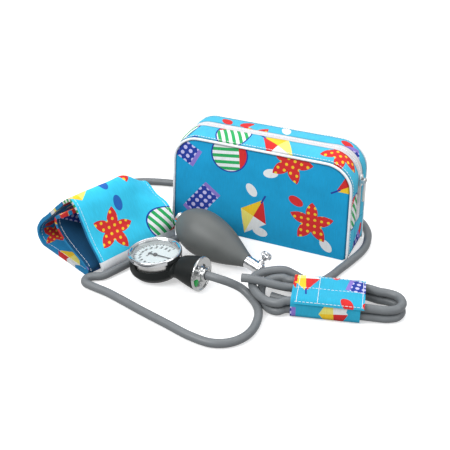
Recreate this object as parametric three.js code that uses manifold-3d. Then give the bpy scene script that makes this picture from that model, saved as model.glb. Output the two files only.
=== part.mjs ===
// Aneroid blood pressure kit: gauge, bulb, rolled cuff, hoses, tied hank and zipped bag.
// Millimetres, +Z up, origin at the centre of the bag's base.
import * as THREE from 'three';
import { mergeVertices } from 'three/addons/utils/BufferGeometryUtils.js';
import Module from 'manifold-3d';

const wasm = await Module();
wasm.setup();

// Shared sizes
const GAP = 0.3;                 // between meshes that touch
const HOSE_R = 4;                // rubber hose, 8 mm outside
const HOSE_Z = HOSE_R + 0.1;     // axis of a hose lying on the table
const SOCKET_R = HOSE_R + 0.45;  // bore that takes a hose end
const HOSE_SIDES = 8;
const HOSE_STEP = 18;            // spacing of the rings on a plain hose

// Gauge, in its own frame: +X to the neck, origin at the middle of the case's base
const CASE_R = 25.6;
const CASE_H = 21;
const CASE_BASE_R = 18;
const CASE_CHAMFER_H = 8;
const CASE_WALL = 2;
const CASE_FLOOR = 3;
const NOTCH_FROM = 31;           // rim notch either side of the neck, degrees
const NOTCH_TO = 106;
const NOTCH_Z = 15.2;
const NECK_END = 49.5;
const NECK_Z = 12.2;
const NECK_WALL = 2.2;
const PLATE_R = 17;
const PLATE_X = NECK_END + GAP;
const PLATE_T = 2;
const HUB_LENGTH = 5.2;
const HUB_R = 7;
const BEZEL_R = 26;
const BEZEL_LIP_R = 22.8;
const BEZEL_TOP = 26;
const LENS_R = 24.2;
const MOVEMENT_R = 20;
const DIAL_Z = 19.2;
const DIAL_T = 0.6;
const SWEEP = 300;               // dial sweep, degrees
const MODULE = 0.35;
const SECTOR_TEETH = 80;         // on the full circle
const PINION_TEETH = 10;
const SECTOR_CUT = 11;           // teeth that are really cut
const GAUGE_AT = [-108.3, -85.4];
const GAUGE_YAW = -30;

// Bulb and its valves, along the bulb's axis from the round end
const BULB_R = 22.9;
const BULB_BELLY = 31.8;
const BULB_LENGTH = 87.6;
const BULB_NECK_R = 6.8;
const BULB_WALL = 2.5;
const BULB_CUT = 2;              // the round end is cut flat here for the inlet valve
const BULB_FLAT = 0.5;           // flat it rests on
const BULB_TIP = [-88.2, -27.8];
const BULB_YAW = -39.5;
const BULB_PITCH = 10.33;
const VALVE_LENGTH = 18.5;
const VALVE_R = 5.9;
const SCREW_AT = 13.6;           // thumb screw, along the valve
const SCREW_ROLL = 40;           // its lean from level, degrees
const KNOB_R = 4.8;
const KNOB_RIBS = 18;

// Cuff, in its own frame: a along the roll, u across it to the front right
const CUFF_AT = [-187.9, -66.0];
const CUFF_YAW = 45.6;
const CUFF_WIDTH = 94;
const CUFF_T = 3.6;
const CUFF_EDGE = 2.6;           // stitched edge binding
const CUFF_END = 12.5;           // white tape on the outer end
const CUFF_START_SHIFT = 4;      // the turns creep along the roll
const CUFF_CREEP = -16;
const CUFF_SAG = 16;             // the right end opens out: its ridge sags and its front swells
const CUFF_SWELL = 13;
const BLADDER_T = 1;
const BLADDER_FROM = 12;
const BLADDER_TO = 84;
const PORT_A = 70;
const PORT_U_GAUGE = 3;
const PORT_U_BULB = -30;
const PORT_R = 5.2;

// Hank and its wrap, in their own frame: p along the runs, w across them
const HANK_AT = [49.5, -140];
const HANK_YAW = -10;
const HANK_TURNS = 2;
const HANK_PITCH = 8.8;
const HANK_RIGHT = 54;
const HANK_LEFT = -42;
const HANK_WAIST = 16.1;
const WRAP_HALF = 31;
const WRAP_T = 1.4;
const WRAP_LIFT = 1.7;
const WRAP_W = 22.5;
const WRAP_TOP = 20.5;
const FLAP_T = 1.3;
const FLAP_SKEW = 3.2;
const FLAP_WRAP = 72;            // how far the flap turns over the wrap's front corner, degrees

// Bag, in its own frame: x across, y to the back
const BAG_W = 195;
const BAG_H = 106;
const BAG_D = 51;
const BAG_YAW = -24.4;
const BAG_CORNER = 28;
const BAG_FOOT = 5;
const BAG_WALL = 1.8;
const BAG_LEAN = 0.05;
const BAG_TAPER = 0.03;
const BAG_SLUMP = 6;             // the front lies lower at the top than the zip does
const PIPING_R = 1.3;
const ZIP_Y = 1.5;
const ZIP_END_Z = 32;
const TAPE_W = 4.7;
const SLIDER_Z = 76;
const PULL_LENGTH = 24;

const group = new THREE.Group();
const rad = THREE.MathUtils.degToRad;

const LOOKS = {
  black: [0x2b2f2f, 0.55, 0],
  chrome: [0xd8dadc, 0.18, 1],
  steel: [0xb4b6b8, 0.35, 1],
  brass: [0xc2a14a, 0.35, 1],
  lens: [0xeaf2f4, 0.05, 0],
  dial: [0xf4f4f2, 0.5, 0],
  pointer: [0x1c1c1e, 0.5, 0],
  bulb: [0x6c6f70, 0.6, 0],
  hose: [0x868c90, 0.45, 0],
  cloth: [0x35c3ea, 0.9, 0],
  clothDark: [0x1d9fd2, 0.9, 0],
  clothLight: [0x5fd0f0, 0.9, 0],
  white: [0xf0f1f2, 0.85, 0],
  bladder: [0x55595c, 0.6, 0],
};

// Merges a geometry's corners, drops flat triangles and turns its faces outwards
function closed(geometry) {
  const bare = geometry.clone();
  for (const name of ['normal', 'uv']) {
    bare.deleteAttribute(name);
  }
  const merged = mergeVertices(bare, 1e-4);
  const index = merged.index.array;
  const kept = [];
  for (let i = 0; i < index.length; i += 3) {
    const [a, b, c] = [index[i], index[i + 1], index[i + 2]];
    if (a !== b && b !== c && c !== a) {
      kept.push(a, b, c);
    }
  }
  const at = (i) => new THREE.Vector3().fromBufferAttribute(merged.attributes.position, i);
  let volume = 0;
  for (let i = 0; i < kept.length; i += 3) {
    volume += at(kept[i]).dot(at(kept[i + 1]).cross(at(kept[i + 2])));
  }
  if (volume < 0) {
    kept.reverse();
  }
  merged.setIndex(kept);
  return merged;
}

function toSolid(geometry) {
  const g = closed(geometry);
  return new wasm.Manifold(new wasm.Mesh({
    numProp: 3,
    vertProperties: new Float32Array(g.attributes.position.array),
    triVerts: new Uint32Array(g.index.array),
  }));
}

function toGeometry(solid) {
  const mesh = solid.getMesh();
  const g = new THREE.BufferGeometry();
  g.setAttribute('position', new THREE.BufferAttribute(new Float32Array(mesh.vertProperties), 3));
  g.setIndex(Array.from(mesh.triVerts));
  return g;
}

const join = (first, ...rest) => toGeometry(rest.reduce((s, g) => s.add(toSolid(g)), toSolid(first)));
const cut = (first, ...rest) => toGeometry(rest.reduce((s, g) => s.subtract(toSolid(g)), toSolid(first)));

// Turns an [r, z] profile about Z
function turned(profile, sides = 40) {
  const points = profile.map(([r, z]) => new THREE.Vector2(r, z));
  return new THREE.LatheGeometry(points, sides).rotateX(Math.PI / 2);
}

const rod = (r, z0, z1, sides = 24) => turned([[0, z0], [r, z0], [r, z1], [0, z1]], sides);
const ring = (r0, r1, z0, z1, sides = 40) => (
  turned([[r0, z0], [r1, z0], [r1, z1], [r0, z1], [r0, z0]], sides));

const flat = (points) => points.map(([x, y]) => new THREE.Vector2(x, y));
const shapeOf = (points) => new THREE.Shape(flat(points));
const pathOf = (points) => new THREE.Path(flat(points));

// Rotation that sends the X, Y and Z axes to the given ones
const turnedTo = (...axes) => new THREE.Matrix4().makeBasis(...axes.map((v) => new THREE.Vector3(...v)));

function slab(shape, z0, z1, steps = 1) {
  const g = new THREE.ExtrudeGeometry(shape, { depth: z1 - z0, bevelEnabled: false, steps });
  return g.translate(0, 0, z0);
}

function block(x0, x1, y0, y1, z0, z1) {
  const g = new THREE.BoxGeometry(x1 - x0, y1 - y0, z1 - z0);
  return g.translate((x0 + x1) / 2, (y0 + y1) / 2, (z0 + z1) / 2);
}

// Skins a stack of rings with the same number of corners and closes both ends with a fan
function loft(rings) {
  const n = rings[0].length;
  const points = rings.flat();
  const faces = [];
  for (let k = 0; k + 1 < rings.length; k++) {
    for (let i = 0; i < n; i++) {
      const j = (i + 1) % n;
      const a = k * n;
      faces.push(a + i, a + j, a + n + j, a + i, a + n + j, a + n + i);
    }
  }
  const last = (rings.length - 1) * n;
  for (let i = 1; i + 1 < n; i++) {
    faces.push(0, i + 1, i);
    faces.push(last, last + i, last + i + 1);
  }
  return fromFaces(points, faces);
}

function fromFaces(points, faces) {
  const g = new THREE.BufferGeometry();
  g.setAttribute('position', new THREE.Float32BufferAttribute(points.flatMap((p) => [p.x, p.y, p.z]), 3));
  g.setIndex(faces);
  return g;
}

const ovalRing = (x, y, z, halfW, halfH, n = 28) => Array.from({ length: n }, (_, i) => {
  const t = (i / n) * 2 * Math.PI;
  return new THREE.Vector3(x, y + halfW * Math.cos(t), z + halfH * Math.sin(t));
});

// A round section swept along a smooth curve
function hose(curve, r = HOSE_R, sides = HOSE_SIDES, spacing = HOSE_STEP) {
  const section = new THREE.Shape();
  for (let i = 0; i < sides; i++) {
    const t = ((i + 0.5) / sides) * 2 * Math.PI;
    const [x, y] = [r * Math.cos(t), r * Math.sin(t)];
    if (i === 0) {
      section.moveTo(x, y);
    } else {
      section.lineTo(x, y);
    }
  }
  section.closePath();
  const steps = Math.max(4, Math.round(curve.getLength() / spacing));
  return new THREE.ExtrudeGeometry(section, { steps, bevelEnabled: false, extrudePath: curve });
}

const curveOf = (points) => new THREE.CatmullRomCurve3(points, false, 'centripetal');

// The stretch of a curve between two lengths from its start
function stretch(curve, from, to, spacing = 1) {
  const total = curve.getLength();
  const n = Math.max(6, Math.round((to - from) / spacing));
  const points = [];
  for (let i = 0; i <= n; i++) {
    points.push(curve.getPointAt((from + ((to - from) * i) / n) / total));
  }
  const part = curveOf(points);
  part.arcLengthDivisions = 2 * n;
  return part;
}

// A sheet of even thickness that follows a path in the plane, from side(t)[0] to side(t)[1] across it
function ribbon(path, t0, t1, thick, sides, steps, across = [0, 0.5, 1]) {
  const rows = [];
  for (let i = 0; i <= steps; i++) {
    const t = t0 + ((t1 - t0) * i) / steps;
    const p = path.getPointAt(t);
    const d = path.getTangentAt(t);
    const [a0, a1] = sides(t);
    for (const half of [thick / 2, -thick / 2]) {
      for (const k of across) {
        rows.push(new THREE.Vector3(a0 + (a1 - a0) * k, p.x - d.y * half, Math.max(0, p.y + d.x * half)));
      }
    }
  }
  const w = across.length;
  const end = w - 1;
  const at = (i, side, k) => i * 2 * w + side * w + k;
  const faces = [];
  const quad = (a, b, c, d) => faces.push(a, b, c, a, c, d);
  for (let i = 0; i < steps; i++) {
    for (let k = 0; k < end; k++) {
      quad(at(i, 0, k), at(i + 1, 0, k), at(i + 1, 0, k + 1), at(i, 0, k + 1));
      quad(at(i, 1, k), at(i, 1, k + 1), at(i + 1, 1, k + 1), at(i + 1, 1, k));
    }
    quad(at(i, 0, 0), at(i, 1, 0), at(i + 1, 1, 0), at(i + 1, 0, 0));
    quad(at(i, 0, end), at(i + 1, 0, end), at(i + 1, 1, end), at(i, 1, end));
  }
  for (let k = 0; k < end; k++) {
    quad(at(0, 0, k), at(0, 0, k + 1), at(0, 1, k + 1), at(0, 1, k));
    quad(at(steps, 0, k), at(steps, 1, k), at(steps, 1, k + 1), at(steps, 0, k + 1));
  }
  return fromFaces(rows, faces);
}

function put(name, geometry, look, matrix = new THREE.Matrix4()) {
  const [color, roughness, metalness] = LOOKS[look];
  const material = new THREE.MeshStandardMaterial({ color, roughness, metalness });
  if (look === 'lens') {
    material.transparent = true;
    material.opacity = 0.35;
  }
  const solid = closed(geometry.clone().applyMatrix4(matrix));
  solid.computeVertexNormals();
  const mesh = new THREE.Mesh(solid, material);
  mesh.name = name;
  group.add(mesh);
}

// Frame whose +X points along a heading, tipped up by a pitch
function frameAt(x, y, z, yaw, pitch = 0) {
  const turn = new THREE.Matrix4().makeRotationZ(rad(yaw));
  const tip = new THREE.Matrix4().makeRotationY(-rad(pitch));
  return new THREE.Matrix4().makeTranslation(x, y, z).multiply(turn).multiply(tip);
}

const alongX = new THREE.Matrix4().makeRotationY(Math.PI / 2);
const place = (frame, x, y, z) => new THREE.Vector3(x, y, z).applyMatrix4(frame);

// Gauge
const gaugePitch = THREE.MathUtils.radToDeg(Math.atan((PLATE_R - NECK_Z) / (CASE_BASE_R + PLATE_X + PLATE_T)));
const gauge = frameAt(...GAUGE_AT, CASE_BASE_R * Math.sin(rad(gaugePitch)), GAUGE_YAW, gaugePitch);

// Each is how far out, half width, half height and how far the middle rises
const NECK_SECTIONS = [[14, 12.6, 8.7, 0], [26.4, 12.4, 8.7, 0], [29.5, 13.2, 10.6, 1.9],
  [36, 14.2, 13.3, 1.1], [43, 15.4, 15.2, 0.5], [NECK_END, 16.5, 16.5, 0]];
const neckLoft = (thin, extra) => loft(NECK_SECTIONS.map(([x, w, h, rise], i) => {
  const out = i === NECK_SECTIONS.length - 1 ? extra : 0;
  return ovalRing(x + out, 0, NECK_Z + rise, w - thin, h - thin);
}));

function notch(from, to) {
  const n = 12;
  const points = [];
  for (const [r, back] of [[CASE_R - CASE_WALL - 1, false], [CASE_R + 4, true]]) {
    for (let i = 0; i <= n; i++) {
      const t = rad(from + ((to - from) * (back ? n - i : i)) / n);
      points.push([r * Math.cos(t), r * Math.sin(t)]);
    }
  }
  return slab(shapeOf(points), NOTCH_Z, CASE_H + 1);
}

const cup = turned([[0, 0], [CASE_BASE_R, 0], [CASE_BASE_R + 2.6, 1.4], [CASE_R - 0.9, CASE_CHAMFER_H - 2],
  [CASE_R, CASE_CHAMFER_H], [CASE_R, CASE_H], [0, CASE_H]], 36);
const caseIn = CASE_R - CASE_WALL;
const FLOOR_R = 17.6;            // inside, the floor meets the chamfer here
const FLOOR_RISE = 5.8;
const caseRoom = turned([[0, CASE_FLOOR], [FLOOR_R, CASE_FLOOR], [caseIn, CASE_FLOOR + FLOOR_RISE],
  [caseIn, CASE_H + 1], [0, CASE_H + 1]], 36);
put('gauge_case', cut(join(cup, neckLoft(0, 0)), caseRoom, neckLoft(NECK_WALL, 1),
  notch(NOTCH_FROM, NOTCH_TO), notch(-NOTCH_TO, -NOTCH_FROM)), 'black', gauge);

const canR = caseIn - GAP;
const canWall = 0.8;
const canFloor = CASE_FLOOR + GAP;
const flangeZ = CASE_H + GAP;
const ledgeR = 21.2;
const stemBore = rod(1.6, 0, 6).applyMatrix4(alongX).translate(canR - 3, 0, NECK_Z);
put('gauge_can', cut(turned([[0, canFloor], [FLOOR_R - GAP, canFloor], [canR, canFloor + FLOOR_RISE],
  [canR, flangeZ], [LENS_R, flangeZ],
  [LENS_R, flangeZ + canWall], [canR - canWall, flangeZ + canWall], [canR - canWall, DIAL_Z - GAP],
  [ledgeR, DIAL_Z - GAP], [canR - canWall, DIAL_Z - GAP - 1.6], [canR - canWall, canFloor + FLOOR_RISE + 0.3],
  [FLOOR_R - GAP - 0.3, canFloor + canWall],
  [0, canFloor + canWall]], 36), stemBore), 'steel', gauge);

const lensZ = flangeZ + canWall + GAP;
const lensT = 1.3;
const lipZ = lensZ + lensT + GAP;
put('gauge_bezel', turned([[LENS_R + GAP, flangeZ], [BEZEL_R, flangeZ], [BEZEL_R, BEZEL_TOP - 1.1],
  [BEZEL_R - 0.8, BEZEL_TOP], [LENS_R, BEZEL_TOP], [BEZEL_LIP_R, lipZ + 0.7], [BEZEL_LIP_R, lipZ],
  [LENS_R + GAP, lipZ], [LENS_R + GAP, flangeZ]], 42), 'chrome', gauge);
put('gauge_lens', rod(LENS_R, lensZ, lensZ + lensT, 42), 'lens', gauge);
put('gauge_dial', ring(2, canR - canWall - GAP, DIAL_Z, DIAL_Z + DIAL_T, 42), 'dial', gauge);

const POINTER_Z = 20.4;
const needle = shapeOf([[-8, -0.9], [-7.2, -1.1], [-2, -0.5], [0, -0.75], [17.5, -0.28], [19.3, 0],
  [17.5, 0.28], [0, 0.75], [-2, 0.5], [-7.2, 1.1], [-8, 0.9]]);
put('gauge_pointer', cut(join(slab(needle, POINTER_Z, POINTER_Z + 0.4), turned([[0, 20.1], [2, 20.1],
  [2.1, 21.2], [1.5, 21.9], [0, 21.9]], 20)), rod(1.1, 20, 21.2, 16)), 'pointer', gauge);

// Movement: a capsule under a base plate, a toothed sector and the pointer's pinion
const sectorR = (MODULE * SECTOR_TEETH) / 2;
const pinionR = (MODULE * PINION_TEETH) / 2;
const pivotAt = -(sectorR + pinionR) * Math.SQRT1_2;
const BASE_Z = 10;
const BASE_T = 1;
const TOP_Z = 15.4;
const WHEEL_Z = 12.2;
const ADDENDUM = 0.8 * MODULE;
const DEDENDUM = 1.2 * MODULE;
const TOOTH_TIP = 0.2;
const TOOTH_PITCH = 0.4;
const TOOTH_ROOT = 0.52;

// One tooth's outline on a wheel of pitch radius r, standing at an angle
function tooth(r, angle) {
  const rows = [[r - DEDENDUM, TOOTH_ROOT], [r, TOOTH_PITCH], [r + ADDENDUM, TOOTH_TIP]];
  const flank = (side) => rows.map(([rr, w]) => {
    const t = angle + (side * w) / 2 / rr;
    return [rr * Math.cos(t), rr * Math.sin(t)];
  });
  return [...flank(-1), ...flank(1).reverse()];
}

const sectorTurn = (2 * Math.PI) / SECTOR_TEETH;
const sectorTeeth = [];
for (let k = SECTOR_CUT - 2; k >= -1; k--) {
  sectorTeeth.push(...tooth(sectorR, Math.PI / 4 - k * sectorTurn));
}
const sectorShape = shapeOf([[-3.2, -1.2], ...sectorTeeth, [-1.2, 3.2], [-2.9, 1.4]]);
const sectorHole = new THREE.Path();
const arcPoints = (r, from, to, n) => Array.from({ length: n + 1 }, (_, i) => {
  const t = rad(from + ((to - from) * i) / n);
  return new THREE.Vector2(r * Math.cos(t), r * Math.sin(t));
});
sectorHole.setFromPoints([...arcPoints(11, 14, 40, 5), ...arcPoints(5.5, 34, 20, 3)]);
sectorShape.holes.push(sectorHole);
const shaftR = 0.9;
const sectorShaft = rod(shaftR, BASE_Z - 0.6, TOP_Z + 1.4, 12);
put('gauge_sector_wheel', join(slab(sectorShape, WHEEL_Z, WHEEL_Z + 0.9), sectorShaft)
  .translate(pivotAt, pivotAt, 0), 'brass', gauge);

const pinionTeeth = [];
for (let k = 0; k < PINION_TEETH; k++) {
  pinionTeeth.push(...tooth(pinionR, rad(225) + ((k + 0.5) * 2 * Math.PI) / PINION_TEETH));
}
put('gauge_pinion_arbor', join(slab(shapeOf(pinionTeeth), WHEEL_Z - 0.4, WHEEL_Z + 1.5),
  rod(0.8, BASE_Z - 0.3, 21, 12)), 'brass', gauge);

const arborHole = rod(1.1, CASE_FLOOR, BEZEL_TOP, 16);
const pivotHole = rod(shaftR + GAP, CASE_FLOOR, BEZEL_TOP, 16).translate(pivotAt, pivotAt, 0);
const legs = [0, 90, 180, 270].map((t) => rod(1.2, canFloor + canWall + GAP, BASE_Z + 0.2, 12)
  .translate(15.7 * Math.cos(rad(t)), 15.7 * Math.sin(rad(t)), 0));
put('gauge_movement_base', cut(join(rod(MOVEMENT_R, BASE_Z, BASE_Z + BASE_T, 28), ...legs), arborHole, pivotHole),
  'brass', gauge);
const pillars = [45, -20, 110].map((t) => rod(1.5, BASE_Z + BASE_T + GAP, TOP_Z + 0.2, 12)
  .translate(16.6 * Math.cos(rad(t)), 16.6 * Math.sin(rad(t)), 0));
const topPlate = rod(MOVEMENT_R - 1.4, TOP_Z, TOP_Z + 1, 28);
put('gauge_movement_top', cut(join(topPlate, ...pillars), arborHole, pivotHole), 'brass', gauge);
put('gauge_capsule', turned([[0, 4.4], [12.8, 4.4], [14, 5.4], [14, 6.4], [12.8, 7.4], [11, 6.8], [9, 7.4],
  [7, 6.8], [5, 7.4], [3, 7.1], [2.6, 9.2], [0, 9.2]], 24), 'brass', gauge);

const stemEnd = PLATE_X - GAP;
put('gauge_stem', ring(1.2, 2.6, 0, stemEnd - canR - 0.6, 16).applyMatrix4(alongX)
  .translate(canR + 0.6, 0, NECK_Z), 'brass', gauge);

// End plate, turned about the neck's axis: rolled rim, ringed face and the hub the hose enters
const face = PLATE_T;
const endPlate = turned([[2.8, 0], [PLATE_R - 0.6, 0], [PLATE_R, 0.6], [PLATE_R, face],
  [PLATE_R - 0.7, face + 0.7], [PLATE_R - 1.7, face + 0.5], [PLATE_R - 2.4, face - 0.5],
  [12.6, face - 0.5], [12.1, face], [9.4, face],
  [8.9, face - 0.5], [HUB_R + 0.6, face - 0.5], [HUB_R, face + 0.3], [HUB_R - 0.5, face + HUB_LENGTH - 0.8],
  [HUB_R - 1.3, face + HUB_LENGTH], [SOCKET_R, face + HUB_LENGTH], [SOCKET_R, face + 0.7], [2.8, face + 0.7],
  [2.8, 0]], 26);
const neckFrame = gauge.clone()
  .multiply(new THREE.Matrix4().makeTranslation(PLATE_X, 0, NECK_Z)).multiply(alongX);
put('gauge_end_plate', endPlate, 'chrome', neckFrame);
[90, 210, 330].forEach((t, i) => {
  const head = turned([[0, 0], [1.9, 0], [1.9, 0.5], [1.2, 1.2], [0, 1.4]], 14);
  const slot = block(-2, 2, -0.25, 0.25, 0.9, 2);
  put(`end_plate_screw_${i + 1}`, cut(head, slot).translate(10.7 * Math.cos(rad(t)), 10.7 * Math.sin(rad(t)),
    face + GAP), 'steel', neckFrame);
});

// Bulb, hollow, resting on its belly
const bulbAt = (s) => {
  if (s < BULB_BELLY) {
    return BULB_R * Math.sqrt(1 - ((BULB_BELLY - s) / BULB_BELLY) ** 2);
  }
  const t = (s - BULB_BELLY) / (BULB_LENGTH - BULB_BELLY);
  return BULB_NECK_R + (BULB_R - BULB_NECK_R) * (1 - t ** 1.9) ** 1.2;
};
const bulbRows = [];
for (let i = 0; i <= 7; i++) {
  const s = BULB_BELLY - (BULB_BELLY - BULB_CUT) * Math.cos((i / 7) * (Math.PI / 2));
  bulbRows.push([bulbAt(s), s]);
}
for (let i = 1; i <= 8; i++) {
  const s = BULB_BELLY + ((BULB_LENGTH - BULB_BELLY) * i) / 8;
  bulbRows.push([bulbAt(s), s]);
}
const tipHole = 5.3;
const neckHole = 4.9;
const innerRows = bulbRows.filter(([r, s]) => r > tipHole + BULB_WALL && s > BULB_CUT + BULB_WALL && s < 78)
  .map(([r, s]) => [r - BULB_WALL, s]).reverse();
const bulbShell = turned([...bulbRows, [neckHole, BULB_LENGTH], [neckHole, 77], ...innerRows,
  [tipHole, BULB_CUT + BULB_WALL], [tipHole, BULB_CUT], bulbRows[0]], 24);
const tip = rad(BULB_PITCH);
const drop = Math.max(...bulbRows.map(([r, s]) => r * Math.cos(tip) + s * Math.sin(tip)));
const bulb = frameAt(...BULB_TIP, drop - BULB_FLAT, BULB_YAW, -BULB_PITCH).multiply(alongX);
const under = block(-300, 300, -300, 300, -20, 0);
put('bulb', cut(bulbShell.applyMatrix4(bulb), under), 'bulb');

put('inlet_valve_body', turned([[1.3, -1.6], [6.6, -1.6], [7.6, -0.7], [7.6, BULB_CUT - GAP],
  [5, BULB_CUT - GAP], [5, 12], [2, 12], [2, 9.2], [3.7, 9.2], [3.7, 3.2], [1.3, 3.2],
  [1.3, -1.6]], 24), 'chrome', bulb);
put('inlet_valve_disc', rod(3.3, 3.5, 4.6, 20), 'hose', bulb);

// Release valve in the bulb's neck, with a side boss for the thumb screw
const valve = bulb.clone().multiply(new THREE.Matrix4().makeTranslation(0, 0, BULB_LENGTH));
const screwFrame = valve.clone().multiply(new THREE.Matrix4().makeTranslation(0, 0, SCREW_AT))
  .multiply(new THREE.Matrix4().makeRotationZ(rad(SCREW_ROLL)))
  .multiply(new THREE.Matrix4().makeRotationX(-Math.PI / 2));
const toValve = new THREE.Matrix4().makeTranslation(0, 0, -SCREW_AT);
const screwToValve = valve.clone().invert().multiply(screwFrame);
const bore = 1.6;
const barrel = turned([[bore, -10], [4, -10], [4.6, -9.2], [4.6, 0], [VALVE_R + 0.5, GAP], [VALVE_R + 0.5, 1.8],
  [VALVE_R, 2.4], [VALVE_R, 9.6], [VALVE_R - 0.4, 10], [VALVE_R, 10.4], [VALVE_R, VALVE_LENGTH - 1],
  [VALVE_R - 0.9, VALVE_LENGTH], [bore, VALVE_LENGTH], [bore, -10]], 24);
const boss = turned([[0, 2.6], [3.4, 2.6], [3.4, 7.2], [2.9, 7.9], [0, 7.9]], 20).applyMatrix4(screwToValve);
const bossBore = rod(1.9, 1, 9, 16).applyMatrix4(screwToValve);
const valveSocket = rod(SOCKET_R, VALVE_LENGTH - 2.5, VALVE_LENGTH + 2, 24);
put('release_valve_body', cut(join(barrel, boss), bossBore, valveSocket), 'chrome', valve);

const knobShape = shapeOf(Array.from({ length: KNOB_RIBS * 2 }, (_, i) => {
  const t = (i / (KNOB_RIBS * 2)) * 2 * Math.PI;
  const r = KNOB_R - (i % 2) * 0.35;
  return [r * Math.cos(t), r * Math.sin(t)];
}));
put('release_thumb_screw', join(slab(knobShape, 12.2, 17), turned([[0, 1.4], [0.6, 1.8], [1.6, 3.2], [1.6, 9],
  [2.4, 9.6], [3.9, 12.3], [0, 12.3]], 20), turned([[0, 16.9], [4.3, 16.9], [3.7, 17.9], [0, 18.3]], 20)),
  'chrome', screwFrame);

// Cuff: one sheet rolled about twice, its turns creeping along the roll
const cuff = frameAt(...CUFF_AT, 0, CUFF_YAW);
const flip = new THREE.Matrix4().makeScale(1, -1, 1);
const cuffFrame = cuff.clone().multiply(flip);
const half = CUFF_T / 2;
const CUFF_PATH = [[33.3, 0.3], [33.6, 8], [28.8, 17.5], [18.9, 32], [9.6, 52.5], [3.2, 64.5], [-3.5, 69.4],
  [-10.8, 65.5], [-23.5, 54.5], [-40, 38.8], [-53.5, 26.5], [-59.8, 16.5], [-59.2, 7.5], [-52, half],
  [-40, half], [-20, half], [0, half], [17, half], [24.5, 3.4], [25.8, 8.2], [20.5, 13.4], [11, 19.4],
  [1, 25.5], [-8, 33], [-14, 42], [-13.5, 50], [-7.5, 54.8], [-2, 57.2]];
const roll = curveOf(CUFF_PATH.map(([u, z]) => new THREE.Vector3(u, z, 0)));
roll.arcLengthDivisions = 800;
const rollLength = roll.getLength();
const cuffLeft = (t) => CUFF_START_SHIFT + CUFF_CREEP * t;
const inset = (from, to) => (t) => [cuffLeft(t) + from, cuffLeft(t) + to];
const endT = CUFF_END / rollLength;
const gapT = GAP / rollLength;
const CUFF_STEPS = 56;
const CUFF_COLUMNS = [0, 0.4, 0.66, 0.78, 0.89, 1];
const edge = CUFF_EDGE + GAP;
const eased = THREE.MathUtils.smoothstep;

// Opens the roll out towards its right end
function opened(geometry) {
  const p = geometry.attributes.position;
  for (let i = 0; i < p.count; i++) {
    const [a, u, z] = [p.getX(i), p.getY(i), p.getZ(i)];
    const s = eased(a, 64, 96);
    const swell = eased(z, 6, 32) * (1 - 0.6 * eased(z, 44, 64)) * eased(u, -12, 20);
    p.setY(i, u + s * CUFF_SWELL * swell);
    p.setZ(i, z - s * CUFF_SAG * eased(z, 36, 68));
  }
  return geometry;
}
const putCuff = (name, geometry, look) => put(name, opened(geometry), look, cuffFrame);

// Parameter of the roll at the point nearest to a place in its section, on the outer turn's bottom
function bottomAt(u) {
  let best = 0;
  for (let i = 0; i <= 400; i++) {
    const p = roll.getPointAt(i / 400);
    const q = roll.getPointAt(best);
    if (Math.hypot(p.x - u, p.y - half) < Math.hypot(q.x - u, q.y - half)) {
      best = i / 400;
    }
  }
  return best;
}
const bladderFrom = bottomAt(PORT_U_BULB) - 0.05;
const bladderTo = bottomAt(PORT_U_GAUGE) + 0.03;
const pocket = ribbon(roll, bladderFrom - 2 * gapT, bladderTo + 2 * gapT, BLADDER_T + 2 * GAP,
  inset(10, CUFF_WIDTH + 5), 12);
const sleeve = ribbon(roll, endT + gapT, 1, CUFF_T, inset(edge, CUFF_WIDTH - edge), CUFF_STEPS, CUFF_COLUMNS);
const portHoles = [PORT_U_GAUGE, PORT_U_BULB].map((u) => rod(3.1, half, half + 4, 16).translate(PORT_A, u, 0));
putCuff('cuff_sleeve', cut(sleeve, pocket, ...portHoles), 'cloth');
putCuff('cuff_end_tape', ribbon(roll, 0, endT, CUFF_T, inset(0, CUFF_WIDTH), 4, CUFF_COLUMNS), 'white');
putCuff('cuff_edge_left', ribbon(roll, endT + gapT, 1, CUFF_T, inset(0, CUFF_EDGE),
  CUFF_STEPS, [0, 1]), 'white');
const slit = ribbon(roll, bladderFrom - 2 * gapT, bladderTo + 2 * gapT, BLADDER_T + 2 * GAP,
  inset(CUFF_WIDTH - 10, CUFF_WIDTH + 5), 12);
putCuff('cuff_edge_right', cut(ribbon(roll, endT + gapT, 1, CUFF_T, inset(CUFF_WIDTH - CUFF_EDGE, CUFF_WIDTH),
  CUFF_STEPS, [0, 1]), slit), 'white');

// Bladder in the sheet's pocket, with two ports that turn to face the cuff's end
const PORT_Z = CUFF_T + GAP + PORT_R;
const portSolids = [PORT_U_GAUGE, PORT_U_BULB].map((u) => {
  const riser = rod(2.7, half, PORT_Z, 16).translate(PORT_A, u, 0);
  const body = turned([[0, -3.5], [3.6, -3.2], [PORT_R, -1], [PORT_R, 8], [PORT_R - 0.5, 8.6], [0, 8.6]], 20)
    .applyMatrix4(alongX).translate(PORT_A, u, PORT_Z);
  return join(riser, body);
});
const portBores = [PORT_U_GAUGE, PORT_U_BULB].map((u) => rod(SOCKET_R, 2.6, 10, 20)
  .applyMatrix4(alongX).translate(PORT_A, u, PORT_Z));
const bladder = ribbon(roll, bladderFrom, bladderTo, BLADDER_T, inset(BLADDER_FROM, BLADDER_TO), 10);
put('cuff_bladder', cut(join(bladder, ...portSolids), ...portBores), 'bladder', cuffFrame);

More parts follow.
